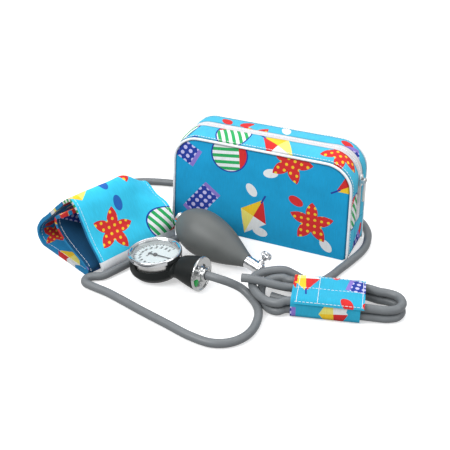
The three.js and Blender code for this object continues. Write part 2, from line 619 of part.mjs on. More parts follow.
// Gauge hose: from the end plate, round the front, along the cuff's edge and into its end
const cuffPoint = (a, u, z) => place(cuffFrame, a, u, z);
const GAUGE_ROUTE = [[-49.5, -118.6, 17.2], [-38, -120, 13.4], [-27.5, -121.6, 8.2], [-19, -130.5, 4.5],
  [-13.8, -144, HOSE_Z], [-12.8, -156, HOSE_Z], [-15.8, -171, HOSE_Z], [-22, -184, HOSE_Z],
  [-31, -192.8, HOSE_Z], [-42, -197.4, HOSE_Z],
  [-55.6, -196.9, HOSE_Z], [-73, -187.5, HOSE_Z], [-95.8, -169, HOSE_Z], [-119.5, -149.7, HOSE_Z],
  [-139, -133, HOSE_Z], [-152, -122.3, HOSE_Z], [-163, -115, HOSE_Z], [-172, -109.2, HOSE_Z],
  [-175, -105.6, HOSE_Z], [-175.3, -101.7, HOSE_Z], [-173.7, -98.2, HOSE_Z], [-170.5, -96, HOSE_Z],
  [-167, -95.5, HOSE_Z], [-160.2, -94.6, HOSE_Z]];
const FRONT_U = 40.8;
const TURN_A = 100;
const turnR = (FRONT_U - PORT_U_GAUGE) / 2;
const turnPoints = [90, 45, 0, -45, -90].map((t) => cuffPoint(TURN_A + turnR * Math.cos(rad(t)),
  FRONT_U - turnR + turnR * Math.sin(rad(t)), HOSE_Z + (t < 0 ? (-t / 90) * 2.2 : 0)));
const gaugeCurve = curveOf([
  place(gauge, PLATE_X + face + 1.1, 0, NECK_Z),
  place(gauge, PLATE_X + face + 5, 0, NECK_Z),
  place(gauge, PLATE_X + face + 9, 0, NECK_Z),
  ...GAUGE_ROUTE.map((p) => new THREE.Vector3(...p)),
  ...[12, 30, 50, 70, 88].map((a) => cuffPoint(a, FRONT_U, HOSE_Z)),
  ...turnPoints,
  cuffPoint(90, PORT_U_GAUGE, PORT_Z - 0.9),
  cuffPoint(83, PORT_U_GAUGE, PORT_Z),
  cuffPoint(78, PORT_U_GAUGE, PORT_Z),
  cuffPoint(PORT_A + 2.9, PORT_U_GAUGE, PORT_Z),
]);
put('gauge_hose', hose(gaugeCurve), 'hose');

// Bulb hose: valve, two turns of the hank, then round the back of the bag to the cuff's other port
const hank = frameAt(...HANK_AT, 0, HANK_YAW);
const smooth = (x, a, b) => THREE.MathUtils.smoothstep(x, Math.min(a, b), Math.max(a, b));
const lift = (p) => WRAP_LIFT * (1 - smooth(Math.abs(p), WRAP_HALF + 4, WRAP_HALF + 20));
const runHalf = (p) => {
  const left = smooth(-p, WRAP_HALF + 2, WRAP_HALF + 16) * 6;
  const right = smooth(p, WRAP_HALF - 2, HANK_RIGHT) * -2.6;
  return HANK_WAIST + left + right;
};
const HANK_STATIONS = [-36, -24, -12, 0, 12, 24, 36, 47];
const HUMP = 2.4;                // the last turn's rise where it passes over the lead
const TURN_SKEW = 0.25;          // the left turns reach further at the back
const hankPoints = [];
const addPoint = (p, w, z) => hankPoints.push(place(hank, p, w, z + lift(p)));
for (let k = 0; k < HANK_TURNS; k++) {
  const z = HOSE_Z + HANK_PITCH * k;
  const last = k === HANK_TURNS - 1;
  const zNext = z + (last ? HUMP : HANK_PITCH);
  for (const p of HANK_STATIONS.slice(k === 0 ? 1 : 0)) {
    addPoint(p, runHalf(p), z);
  }
  const r = runHalf(HANK_RIGHT);
  for (let i = 0; i <= 4; i++) {
    const t = Math.PI / 2 - (Math.PI * i) / 4;
    addPoint(HANK_RIGHT + r * Math.cos(t), r * Math.sin(t), z);
  }
  for (const p of HANK_STATIONS.toReversed()) {
    addPoint(p, -runHalf(p), z);
  }
  const halfIn = runHalf(HANK_LEFT);
  const halfOut = halfIn + (last ? 9.4 : 0);
  const mid = (halfOut - halfIn) / 2;
  const reach = 18 + 9 * k;
  for (let i = 0; i <= 6; i++) {
    const t = (Math.PI * i) / 6;
    const p = HANK_LEFT - reach * Math.sin(t) * (1 - TURN_SKEW * Math.cos(t));
    addPoint(p, mid - ((halfIn + halfOut) / 2) * Math.cos(t), z + (zNext - z) * smooth(i, 1.8, 4.6));
  }
}
const valveStart = valve.clone().multiply(new THREE.Matrix4().makeTranslation(0, 0, VALVE_LENGTH - 2.2));
const leadPoints = [
  place(valveStart, 0, 0, 0),
  place(valveStart, 0, 0, 3.4),
  place(valveStart, 0, 0, 6.4),
  place(hank, -56.4, 30.9, 6.8),
  place(hank, -51, 27.9, 4.6),
  place(hank, -44, 22.6, HOSE_Z + 0.2),
  place(hank, -37, 18.2, HOSE_Z + WRAP_LIFT - 0.2),
  place(hank, -31, 16.5, HOSE_Z + WRAP_LIFT),
];
const leavePoints = [[-33, 30.6, 12.2], [-24, 30.3, 7.8], [-13, 31.8, 4.6], [-5, 37.4, HOSE_Z]]
  .map(([p, w, z]) => place(hank, p, w, z));
const TAIL_ROUTE = [[59.5, -94.4], [67, -85], [77, -73.2], [88.4, -59], [94.8, -49.8], [100, -39.6],
  [103.1, -28.9], [105.3, -16.8], [104.9, -5.9], [102.7, 5], [97.2, 15.8], [87.5, 27.5], [76, 38.5],
  [62, 49.5], [44, 59.5], [20, 69.5], [-8, 78.5], [-40, 85.5], [-72, 91], [-103.9, 96.7],
  [-122, 99.8], [-140, 100.5], [-154.5, 96.5], [-163.5, 87], [-164.5, 76], [-159, 67.5],
  [-150, 63.5], [-138.4, 61.7], [-130, 56.5], [-126.3, 46.2]];
const tailPoints = [
  ...TAIL_ROUTE.map(([x, y]) => new THREE.Vector3(x, y, HOSE_Z)),
  cuffPoint(112, PORT_U_BULB, HOSE_Z + 0.6),
  cuffPoint(98, PORT_U_BULB, PORT_Z - 1.4),
  cuffPoint(88, PORT_U_BULB, PORT_Z),
  cuffPoint(PORT_A + 2.9, PORT_U_BULB, PORT_Z),
];
const bulbCurve = curveOf([...leadPoints, ...hankPoints, ...leavePoints, ...tailPoints]);
bulbCurve.arcLengthDivisions = 1200;
const bulbHoseLength = bulbCurve.getLength();

// Length along a curve at the point nearest to a place, looking from one length on
function lengthNear(curve, point, from, to) {
  const total = curve.getLength();
  let best = from;
  let least = Infinity;
  for (let s = from; s <= to; s += 0.5) {
    const d = curve.getPointAt(s / total).distanceTo(point);
    if (d < least) {
      least = d;
      best = s;
    }
  }
  return best;
}
const hankStart = lengthNear(bulbCurve, place(hank, -26, HANK_WAIST, HOSE_Z + WRAP_LIFT), 0, 90);
const hankEnd = lengthNear(bulbCurve, place(hank, -21, 30, 6.6), 400, 800);
put('bulb_hose_lead', hose(stretch(bulbCurve, 0, hankStart - GAP / 2), HOSE_R, HOSE_SIDES, 5), 'hose');
const hankCurve = stretch(bulbCurve, hankStart + GAP / 2, hankEnd - GAP / 2);
put('hose_hank', hose(hankCurve, HOSE_R, 6, hankCurve.getLength() / 54), 'hose');
put('bulb_hose_tail', hose(stretch(bulbCurve, hankEnd + GAP / 2, bulbHoseLength)), 'hose');

// Least gap between the hank's turns, away from neighbouring points of the same run
const hankSamples = hankCurve.getSpacedPoints(300);
let hankGap = Infinity;
for (let i = 0; i < hankSamples.length; i++) {
  for (let j = i + 12; j < hankSamples.length; j++) {
    hankGap = Math.min(hankGap, hankSamples[i].distanceTo(hankSamples[j]) - 2 * HOSE_R);
  }
}
const hankLength = hankCurve.getLength();
console.log(`hank: length ${hankLength.toFixed(0)} mm, least gap to itself ${hankGap.toFixed(2)} mm`);
console.log(`gauge hose ${gaugeCurve.getLength().toFixed(0)} mm, bulb hose ${bulbHoseLength.toFixed(0)} mm`);

// Spare tubes held in the wrap, with square-cut bare ends to the left
const SPARE_UPPER = [[-78.7, 2.2, 21.9], [-70, 1.9, 22], [-60, 1.6, 20.6], [-50, 1.6, 18.6], [-40, 2.6, 16.4],
  [-31, 4, 15], [-15, 5.2, 14.8], [5, 5.4, 14.8], [24, 5.4, 14.8]];
const SPARE_LOWER = [[-50.8, -1.4, 7.4], [-45, -2.8, 7], [-38, -4.4, 6.5], [-28, -5.4, 6.1], [-10, -5.6, 6],
  [8, -5.6, 6], [24, -5.6, 6]];
const spare = (list) => hose(curveOf(list.map(([p, w, z]) => place(hank, p, w, z))), HOSE_R, HOSE_SIDES, 12);
put('spare_tube_upper', spare(SPARE_UPPER), 'hose');
put('spare_tube_lower', spare(SPARE_LOWER), 'hose');

// Cloth wrap round the hank, with the flap that closes over it
function roundedRect(x0, x1, y0, y1, r, n = 5) {
  const points = [];
  for (const [cx, cy, t0] of [[x1 - r, y0 + r, -90], [x1 - r, y1 - r, 0], [x0 + r, y1 - r, 90],
    [x0 + r, y0 + r, 180]]) {
    for (let i = 0; i <= n; i++) {
      const t = rad(t0 + (90 * i) / n);
      points.push([cx + r * Math.cos(t), cy + r * Math.sin(t)]);
    }
  }
  return points;
}
const wrapR = 5.4;
const band = shapeOf(roundedRect(-WRAP_W, WRAP_W, 0, WRAP_TOP, wrapR));
const bandIn = roundedRect(-WRAP_W + WRAP_T, WRAP_W - WRAP_T, WRAP_T, WRAP_TOP - WRAP_T, wrapR - WRAP_T);
band.holes.push(pathOf(bandIn));
const stand = turnedTo([0, 1, 0], [0, 0, 1], [1, 0, 0]);
put('hank_wrap', slab(band, -WRAP_HALF, WRAP_HALF).applyMatrix4(stand), 'cloth', hank);
const flapOff = GAP + FLAP_T / 2;
const flapR = wrapR + flapOff;
const flapPath = new THREE.CurvePath();
const flapCorner = new THREE.Vector3(-WRAP_W + wrapR, WRAP_TOP - wrapR, 0);
const flapPoints = [new THREE.Vector3(WRAP_W - wrapR - 1, WRAP_TOP + flapOff, 0),
  new THREE.Vector3(0, WRAP_TOP + flapOff, 0)];
for (let i = 0; i <= 4; i++) {
  const t = rad(90 + (FLAP_WRAP * i) / 4);
  const [x, y] = [flapCorner.x + flapR * Math.cos(t), flapCorner.y + flapR * Math.sin(t)];
  flapPoints.push(new THREE.Vector3(x, y, 0));
}
for (let i = 0; i + 1 < flapPoints.length; i++) {
  flapPath.add(new THREE.LineCurve3(flapPoints[i], flapPoints[i + 1]));
}
const flapSides = () => [-WRAP_HALF + FLAP_SKEW, WRAP_HALF + FLAP_SKEW];
put('hank_wrap_flap', ribbon(flapPath, 0, 1, FLAP_T, flapSides, 14), 'cloth', hank);

// Bag: soft box whose rear half folds back when the zip is open
const bagFrame = frameAt(0, 0, 0, BAG_YAW);
const bagLean = (geometry) => {
  const p = geometry.attributes.position;
  for (let i = 0; i < p.count; i++) {
    const [x, y, z] = [p.getX(i), p.getY(i), p.getZ(i)];
    const out = Math.min(1, Math.max(0, (2 * (ZIP_Y - y)) / BAG_D)) ** 2;
    p.setX(i, x * (1 - (BAG_TAPER * z) / BAG_H));
    p.setY(i, y + BAG_LEAN * z);
    p.setZ(i, z - (BAG_SLUMP * out * Math.max(0, z - ZIP_END_Z)) / (BAG_H - ZIP_END_Z));
  }
  return geometry;
};

// Front outline of the bag, drawn in by an inset at the sides and top and by another at the foot
function bagOutline(insetBy, footBy) {
  const x = BAG_W / 2 - insetBy;
  const top = BAG_H - insetBy;
  const r = BAG_CORNER - insetBy;
  const foot = Math.max(0.6, BAG_FOOT - insetBy);
  const points = [];
  const corner = (cx, cy, rr, t0, n) => {
    for (let i = 0; i <= n; i++) {
      const t = rad(t0 + (90 * i) / n);
      points.push([cx + rr * Math.cos(t), cy + rr * Math.sin(t)]);
    }
  };
  corner(x - foot, footBy + foot, foot, -90, 3);
  corner(x - r, top - r, r, 0, 8);
  corner(-x + r, top - r, r, 90, 8);
  corner(-x + foot, footBy + foot, foot, 180, 3);
  return points;
}
const upright = turnedTo([1, 0, 0], [0, 0, 1], [0, -1, 0]);
const panel = (insetBy, footBy, y0, y1) => (
  slab(shapeOf(bagOutline(insetBy, footBy)), -y1, -y0).applyMatrix4(upright));
function hoop(insetBy, thick, y0, y1, steps = 1) {
  const shape = shapeOf(bagOutline(insetBy, insetBy));
  shape.holes.push(pathOf(bagOutline(insetBy + thick, insetBy + thick)));
  return slab(shape, -y1, -y0, steps).applyMatrix4(upright);
}
const big = 200;
const skinY = BAG_D / 2;
const sideY = skinY - 2.3;
const panelT = 1.6;
const edgeInset = 2 * PIPING_R;
const above = (y0, y1) => block(-big, big, y0, y1, ZIP_END_Z, big);
const below = (y0, y1) => block(-big, big, y0, y1, -big, ZIP_END_Z + GAP);
const putBag = (name, geometry, look) => put(name, bagLean(geometry), look, bagFrame);

putBag('bag_front_panel', panel(edgeInset, 0.3, -skinY, -skinY + panelT), 'clothDark');
putBag('bag_body', cut(hoop(0, BAG_WALL, -sideY, sideY, 8), above(ZIP_Y - TAPE_W - GAP, big)), 'clothLight');
putBag('bag_back_lower', cut(panel(edgeInset, 0.3, skinY - panelT, skinY), above(0, big)), 'clothDark');
putBag('bag_lid_side', cut(hoop(0, BAG_WALL, ZIP_Y + TAPE_W + GAP, sideY, 3), below(-big, big)), 'clothLight');
putBag('bag_lid_panel', cut(panel(edgeInset, 0.3, skinY - panelT, skinY), below(-big, big)), 'clothDark');
const tapeInset = 0.3;
const tapeT = 1.1;
putBag('zip_tape_front', cut(hoop(tapeInset, tapeT, ZIP_Y - TAPE_W, ZIP_Y - GAP), below(-big, big)), 'white');
putBag('zip_tape_rear', cut(hoop(tapeInset, tapeT, ZIP_Y + GAP, ZIP_Y + TAPE_W), below(-big, big)), 'white');

// White piping in the seams between the panels and the sides
function piping(y, zFrom, zTo) {
  const outline = bagOutline(PIPING_R - 0.4, 0).filter(([, z]) => z > BAG_FOOT + 1);
  const first = outline[0];
  const last = outline[outline.length - 1];
  const rows = [[first[0], zFrom], ...outline.filter(([, z]) => z > zFrom + 1 && z < zTo), [last[0], zFrom]];
  return rows.map(([x, z]) => new THREE.Vector3(x, y, z));
}
const pipe = (points) => hose(curveOf(points), PIPING_R, 6, 9);
putBag('bag_piping_front', pipe(piping(-skinY + 0.9, 1.6, big)), 'white');
putBag('bag_piping_lid', pipe(piping(skinY - 0.9, ZIP_END_Z + 1, big)), 'white');
[1, -1].forEach((side, i) => {
  const x = side * (BAG_W / 2 - PIPING_R + 0.4);
  const points = [1.6, 11, 21, ZIP_END_Z - 0.6].map((z) => new THREE.Vector3(x, skinY - 0.9, z));
  putBag(`bag_piping_rear_${i === 0 ? 'right' : 'left'}`, pipe(points), 'white');
});

// Zip slider on the bag's right side, and the pull that hangs from its bar
const sideX = (z) => (BAG_W / 2) * (1 - (BAG_TAPER * z) / BAG_H);
const sideTilt = Math.atan(((BAG_W / 2) * BAG_TAPER) / BAG_H);
const sliderFrame = bagFrame.clone()
  .multiply(new THREE.Matrix4().makeTranslation(sideX(SLIDER_Z), ZIP_Y + BAG_LEAN * SLIDER_Z, SLIDER_Z))
  .multiply(new THREE.Matrix4().makeRotationY(-sideTilt))
  .multiply(new THREE.Matrix4().makeRotationX(-Math.atan(BAG_LEAN)));
const sliderShape = shapeOf([[-3.2, -6], [3.2, -6], [4, -4.6], [4.1, 2.6], [2.9, 5.6], [0, 6.3], [-2.9, 5.6],
  [-4.1, 2.6], [-4, -4.6]]);
const sliderX = 0.3;
const pinX = sliderX + 4.3;
const pinR = 0.8;
const lug = (y) => block(sliderX + 0.5, pinX + 1, y - 0.6, y + 0.6, -1.6, 1.6);
const pin = rod(pinR, -3.4, 3.4, 12).rotateX(Math.PI / 2).translate(pinX, 0, 0);
put('zip_slider', join(slab(sliderShape, sliderX, sliderX + 1.6).applyMatrix4(stand), lug(-3.3), lug(3.3), pin),
  'steel', sliderFrame);
const pullEnd = 2.2 - PULL_LENGTH;
const pullShape = shapeOf([[-2.2, 1.2], [-1.2, 2.2], [1.2, 2.2], [2.2, 1.2], [2.1, -6], [2.9, -9],
  [2.9, pullEnd + 1.6], [1.6, pullEnd], [-1.6, pullEnd], [-2.9, pullEnd + 1.6], [-2.9, -9], [-2.1, -6]]);
const pullBore = rod(pinR + GAP, -4, 4, 14).rotateX(Math.PI / 2).translate(pinX, 0, 0);
const pullBoss = rod(2.1, -2, 2, 16).rotateX(Math.PI / 2).translate(pinX, 0, 0);
const pullBlade = slab(pullShape, pinX - 0.7, pinX + 0.7).applyMatrix4(stand);
put('zip_pull', cut(join(pullBlade, pullBoss), pullBore), 'steel', sliderFrame);

export default group;
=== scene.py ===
# Dresses the blood pressure kit: camera, hoses, gauge, bulb, cuff, wrap and bag.
import math

import bmesh
import bpy
from mathutils import Matrix, Vector, noise


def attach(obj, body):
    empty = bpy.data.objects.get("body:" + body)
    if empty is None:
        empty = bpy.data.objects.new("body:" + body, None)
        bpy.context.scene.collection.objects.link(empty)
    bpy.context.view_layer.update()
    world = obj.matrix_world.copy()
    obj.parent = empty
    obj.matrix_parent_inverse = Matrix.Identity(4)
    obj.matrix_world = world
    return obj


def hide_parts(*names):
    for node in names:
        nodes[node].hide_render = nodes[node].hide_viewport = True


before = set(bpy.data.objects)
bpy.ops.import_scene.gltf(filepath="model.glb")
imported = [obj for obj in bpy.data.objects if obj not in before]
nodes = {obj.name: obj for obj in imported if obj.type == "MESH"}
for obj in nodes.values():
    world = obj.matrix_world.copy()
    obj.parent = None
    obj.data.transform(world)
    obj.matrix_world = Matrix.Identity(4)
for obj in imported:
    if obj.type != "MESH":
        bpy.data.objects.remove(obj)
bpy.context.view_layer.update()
scene = bpy.context.scene
mm = 0.001
tau = 2 * math.pi


# Small vector and curve helpers, in millimetres
def frameAt(x, y, z, yaw, pitch=0.0):
    turn = Matrix.Rotation(math.radians(yaw), 4, "Z")
    tip = Matrix.Rotation(-math.radians(pitch), 4, "Y")
    return Matrix.Translation((x, y, z)) @ turn @ tip


alongX = Matrix.Rotation(math.pi / 2, 4, "Y")


def polar(r, t):
    return r * math.cos(t), r * math.sin(t)


def smooth(x, low, high):
    t = min(1.0, max(0.0, (x - low) / (high - low)))
    return t * t * (3 - 2 * t)


def wobble(x, y, z, scale, seed=0.0):
    return noise.noise(Vector((x / scale + seed, y / scale - seed, z / scale + 2 * seed)))


# Handles of a centripetal curve through the points: [(point, left handle, right handle)]
def handles(points):
    p = [Vector(q) for q in points]
    p = [2 * p[0] - p[1]] + p + [2 * p[-1] - p[-2]]
    tangents = []
    for i in range(1, len(p) - 1):
        d0 = math.sqrt((p[i] - p[i - 1]).length)
        d1 = math.sqrt((p[i + 1] - p[i]).length)
        slope = (p[i] - p[i - 1]) / d0 - (p[i + 1] - p[i - 1]) / (d0 + d1) + (p[i + 1] - p[i]) / d1
        tangents.append((slope * d0, slope * d1))
    return [(p[i + 1], p[i + 1] - t[0] / 3, p[i + 1] + t[1] / 3) for i, t in enumerate(tangents)]


# Even samples along a line of points: [(place, direction)], and the line's length
def evenly(line, count):
    lengths = [0.0]
    for a, b in zip(line, line[1:]):
        lengths.append(lengths[-1] + (b - a).length)
    out = []
    k = 0
    for i in range(count + 1):
        s = lengths[-1] * i / count
        while k < len(lengths) - 2 and lengths[k + 1] < s:
            k += 1
        out.append(line[k].lerp(line[k + 1], (s - lengths[k]) / max(1e-9, lengths[k + 1] - lengths[k])))
    ways = [(out[min(count, i + 1)] - out[max(0, i - 1)]).normalized() for i in range(count + 1)]
    return list(zip(out, ways)), lengths[-1]


# The same along a curve through the points
def sampled(points, count):
    rows = handles(points)
    steps = 40
    dense = []
    for (a, _, h0), (b, h1, _) in zip(rows, rows[1:]):
        for k in range(steps):
            t = k / steps
            dense.append((1 - t) ** 3 * a + 3 * (1 - t) ** 2 * t * h0 + 3 * (1 - t) * t * t * h1 + t ** 3 * b)
    return evenly(dense + [rows[-1][0]], count)


# Turns joined into one line: each row is a centre, a radius and a first angle
def arcs(rows, steps, sweep=90):
    line = []
    for x, z, r, start in rows:
        for i in range(steps + 1):
            u, v = polar(r, math.radians(start + sweep * i / steps))
            line.append(Vector((x + u, z + v, 0)))
    return line


# Sockets with arithmetic, and one method for every other node
class Sock:
    def __init__(self, shader, socket):
        self.shader = shader
        self.socket = socket

    def calc(self, operation, *others):
        node = self.shader.tree.nodes.new("ShaderNodeMath")
        node.operation = operation
        for i, value in enumerate((self, *others)):
            self.shader.plug(node.inputs[i], value)
        return Sock(self.shader, node.outputs[0])

    def __add__(self, other):
        return self.calc("ADD", other)

    def __sub__(self, other):
        return self.calc("SUBTRACT", other)

    def __mul__(self, other):
        return self.calc("MULTIPLY", other)

    def __truediv__(self, other):
        return self.calc("DIVIDE", other)

    def __lt__(self, other):
        return self.calc("LESS_THAN", other)

    def __gt__(self, other):
        return self.calc("GREATER_THAN", other)

    def flip(self):
        return self.calc("MULTIPLY_ADD", -1.0, 1.0)

    def part(self):
        return self.calc("FRACT")

    def whole(self):
        return self.calc("FLOOR")

    def size(self):
        return self.calc("ABSOLUTE")


class Shader:
    def __init__(self, tree):
        self.tree = tree

    def plug(self, target, value):
        if isinstance(value, Sock):
            self.tree.links.new(value.socket, target)
        elif isinstance(value, tuple) and len(value) == 3 and len(target.default_value) == 4:
            target.default_value = (*value, 1.0)
        else:
            target.default_value = value

    def bare(self, kind, output=0, inputs=None, **settings):
        made = self.tree.nodes.new(kind)
        for key, value in settings.items():
            setattr(made, key, value)
        for key, value in (inputs or {}).items():
            self.plug(made.inputs[key], value)
        return Sock(self, made.outputs[output])

    def node(self, kind, output=0, inputs=None, **settings):
        return self.bare("ShaderNode" + kind, output, inputs, **settings)

    def mix(self, share, a, b):
        return self.node("Mix", 2, {0: share, 6: a, 7: b}, data_type="RGBA")

    def noise(self, where, scale, detail=2.0):
        return self.node("TexNoise", 0, {"Vector": where, "Scale": scale, "Detail": detail})

    def axes(self, vector):
        parts = self.node("SeparateXYZ", 0, {0: vector}).socket.node
        return [Sock(self, s) for s in parts.outputs]

    def joined(self, x, y, z=0.0):
        return self.node("CombineXYZ", 0, {0: x, 1: y, 2: z})

    def ray(self, kind):
        return self.node("LightPath", "Is " + kind + " Ray")

    # Settings of the material's own surface
    def give(self, name, value):
        self.plug(self.body.inputs[name], value)

    def bump(self, strength, distance, height):
        self.give("Normal", self.node("Bump", 0, {"Strength": strength, "Distance": distance, "Height": height}))


def material(name, **fixed):
    made = bpy.data.materials.new(name)
    made.use_nodes = True
    made.node_tree.nodes.clear()
    shader = Shader(made.node_tree)
    shader.made = made
    shader.body = shader.tree.nodes.new("ShaderNodeBsdfPrincipled")
    shader.out = shader.tree.nodes.new("ShaderNodeOutputMaterial").inputs[0]
    shader.tree.links.new(shader.body.outputs[0], shader.out)
    for key, value in fixed.items():
        shader.give(key.replace("_", " "), value)
    return shader


# A paint whose colour wanders between two tones
def painted(name, rough, scale, low, high):
    m = material(name, Roughness=rough)
    m.give("Base Color", m.mix(m.noise(m.node("TexCoord", 3), scale), low, high))
    return m.made


# A surface whose tone, roughness and small bumps wander
def grainy(m, cloudScale, detail, grain, tones, rough, wander, bump, depth):
    where = m.node("TexCoord", 3)
    cloud = m.noise(where, cloudScale, detail)
    m.give("Base Color", m.mix(cloud, *tones))
    m.give("Roughness", cloud * wander + rough)
    m.bump(bump, depth, m.noise(where, grain))
    return m.made


def put(name, data):
    obj = bpy.data.objects.new(name, data)
    scene.collection.objects.link(obj)
    return obj


def meshOf(name, points, faces=()):
    mesh = bpy.data.meshes.new(name)
    mesh.from_pydata([Vector(p) * mm for p in points], [], faces)
    return mesh


def modify(obj, kind, **settings):
    mod = obj.modifiers.new(kind, kind)
    for key, value in settings.items():
        setattr(mod, key, value)
    return mod


# The mesh of an object with its modifiers applied
def settled(obj):
    bpy.context.view_layer.update()
    return bpy.data.meshes.new_from_object(obj.evaluated_get(bpy.context.evaluated_depsgraph_get()))


# Points in millimetres become a mesh in metres whose faces look outwards
def soundMesh(name, points, faces, weld, thin=True, fill=None):
    mesh = meshOf(name, points, faces)
    if fill:
        fill(mesh)
    work = bmesh.new()
    work.from_mesh(mesh)
    if weld:
        bmesh.ops.remove_doubles(work, verts=work.verts, dist=1e-6)
    if weld and thin:
        bmesh.ops.dissolve_degenerate(work, dist=1e-7, edges=work.edges)
    bmesh.ops.recalc_face_normals(work, faces=work.faces)
    work.to_mesh(mesh)
    work.free()
    return mesh


def makePiece(name, points, faces, body, slot, mats, replaced=(), uvs=None, picks=None, sharp=32, weld=False,
              paintedSeamShades=None):
    def fill(mesh):
        if uvs:
            layer = mesh.uv_layers.new(name="cloth")
            for loop in mesh.loops:
                layer.data[loop.index].uv = uvs[loop.vertex_index]
        for polygon, pick in zip(mesh.polygons, picks or []):
            polygon.material_index = pick
        # Painted shade: a point attribute that darkens the cloth materials along the seams
        if paintedSeamShades:
            mesh.attributes.new("seam", "FLOAT", "POINT").data.foreach_set("value", paintedSeamShades)

    return finishPiece(name, soundMesh(name, points, faces, weld, fill=fill), body, slot, mats, replaced, sharp)


def finishPiece(name, mesh, body, slot, mats, replaced=(), sharp=32):
    for polygon in mesh.polygons:
        polygon.use_smooth = True
    mesh.set_sharp_from_angle(angle=math.radians(sharp))
    obj = put(name, mesh)
    for mat in mats if isinstance(mats, list) else [mats]:
        mesh.materials.append(mat)
    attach(obj, body)
    if replaced:
        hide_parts(*replaced)
    return obj


def turned(profile, sides, place):
    points = []
    faces = []
    n = len(profile)
    for i in range(sides):
        points += [place @ Vector((*polar(r, tau * i / sides), z)) for r, z in profile]
        a = i * n
        b = ((i + 1) % sides) * n
        faces += [(a + k, b + k, b + k + 1, a + k + 1) for k in range(n - 1)]
    return points, faces


def lathe(name, profile, sides, place, body, slot, mat, *replaced):
    points, faces = turned(profile, sides, place)
    return makePiece(name, points, faces, body, slot, mat, replaced, weld=True)


# Rounds the corners of a profile, each by a given share of its shorter side
def eased(profile, reach=0.35, steps=3):
    out = [profile[0]]
    for (x0, y0), (x1, y1), (x2, y2) in zip(profile, profile[1:], profile[2:]):
        l0 = math.hypot(x1 - x0, y1 - y0)
        l1 = math.hypot(x2 - x1, y2 - y1)
        d = min(reach, 0.45 * l0, 0.45 * l1)
        a = (x1 + (x0 - x1) * d / l0, y1 + (y0 - y1) * d / l0)
        b = (x1 + (x2 - x1) * d / l1, y1 + (y2 - y1) * d / l1)
        for k in range(steps + 1):
            t = k / steps
            out.append(tuple((1 - t) ** 2 * a[i] + 2 * (1 - t) * t * (x1, y1)[i] + t * t * b[i] for i in (0, 1)))
    out.append(profile[-1])
    return out


# A grid of points becomes a sheet with a front and a back, closed all round
def shell(front, back, wrap=False):
    rows = len(front)
    cols = len(front[0])
    points = [p for row in front for p in row] + [p for row in back for p in row]
    off = rows * cols
    faces = []
    picks = []
    last = rows if wrap else rows - 1
    for i in range(last):
        j = (i + 1) % rows
        for k in range(cols - 1):
            a, b, c, d = i * cols + k, j * cols + k, j * cols + k + 1, i * cols + k + 1
            faces.append((a, b, c, d))
            picks.append(0)
            faces.append((off + d, off + c, off + b, off + a))
            picks.append(1)
        for k in (0, cols - 1):
            a, b = i * cols + k, j * cols + k
            faces.append((a, off + a, off + b, b) if k == 0 else (b, off + b, off + a, a))
            picks.append(2)
    if not wrap:
        for i in (0, rows - 1):
            for k in range(cols - 1):
                a, b = i * cols + k, i * cols + k + 1
                faces.append((b, off + b, off + a, a) if i == 0 else (a, off + a, off + b, b))
                picks.append(2)
    return points, faces, picks


# A sheet with two faces from one rule, which gives a place, its cloth coordinates and its share of painted seam shade
def sheetPiece(name, rows, cols, rule, body, slot, mats, replaced, wrap=False, innerFrom=math.inf):
    grids, uvs, paintedSeamShades = [], [], []
    for back in (False, True):
        grids.append([])
        for i in range(rows):
            line = [rule(i, k, back) for k in range(cols + 1)]
            grids[-1].append([row[0] for row in line])
            uvs += [row[1] for row in line]
            paintedSeamShades += [row[2] for row in line]
    points, faces, picks = shell(*grids, wrap=wrap)
    # Front faces past innerFrom take the fourth material; on the cuff this is the painted-shade copy of its print for
    # the inner turn
    picks = [3 if pick == 0 and face[0] // (cols + 1) > innerFrom else pick for face, pick in zip(faces, picks)]
    return makePiece(name, points, faces, body, slot, mats, replaced, uvs=uvs if uvs[0] else None,
                     picks=picks if isinstance(mats, list) else None, paintedSeamShades=paintedSeamShades if any(paintedSeamShades) else None)


# A node group with named sockets: its shader, what it is asked, its output node and its inputs' identifiers
def groupOf(name, kind, inputs, outputs):
    tree = bpy.data.node_groups.new(name, kind)
    for way, sockets in (("INPUT", inputs), ("OUTPUT", outputs)):
        for key, form in sockets:
            tree.interface.new_socket(key, in_out=way, socket_type="NodeSocket" + form)
    g = Shader(tree)
    ask = {o.name: Sock(g, o) for o in tree.nodes.new("NodeGroupInput").outputs}
    return g, ask, tree.nodes.new("NodeGroupOutput")


# One small mesh repeated at given places by Geometry Nodes, then kept as a plain mesh
def repeatTree():
    g, ask, end = groupOf("Repeat", "GeometryNodeTree", [
        ("Geometry", "Geometry"), ("Unit", "Object"), ("Material", "Material"), ("Scale Spread", "Float"),
        ("Seed", "Int")], [("Geometry", "Geometry")])
    unit = g.bare("GeometryNodeObjectInfo", "Geometry", {"Object": ask["Unit"]})
    turn = g.bare("GeometryNodeInputNamedAttribute", "Attribute", {"Name": "turn"}, data_type="QUATERNION")
    low, high = (g.node("Math", 0, {0: 1.0, 1: ask["Scale Spread"]}, operation=o) for o in ("SUBTRACT", "ADD"))
    size = g.bare("FunctionNodeRandomValue", 1, {2: low, 3: high, "Seed": ask["Seed"]}, data_type="FLOAT")
    spots = g.bare("GeometryNodeInstanceOnPoints", 0, {
        "Points": ask["Geometry"], "Instance": unit, "Rotation": turn, "Scale": size})
    real = g.bare("GeometryNodeRealizeInstances", 0, {"Geometry": spots})
    g.plug(end.inputs["Geometry"], g.bare("GeometryNodeSetMaterial", 0, {
        "Geometry": real, "Material": ask["Material"]}))
    return g.tree, {key: ask[key].socket.identifier for key in ask if key}


repeatGroup, repeatNames = repeatTree()


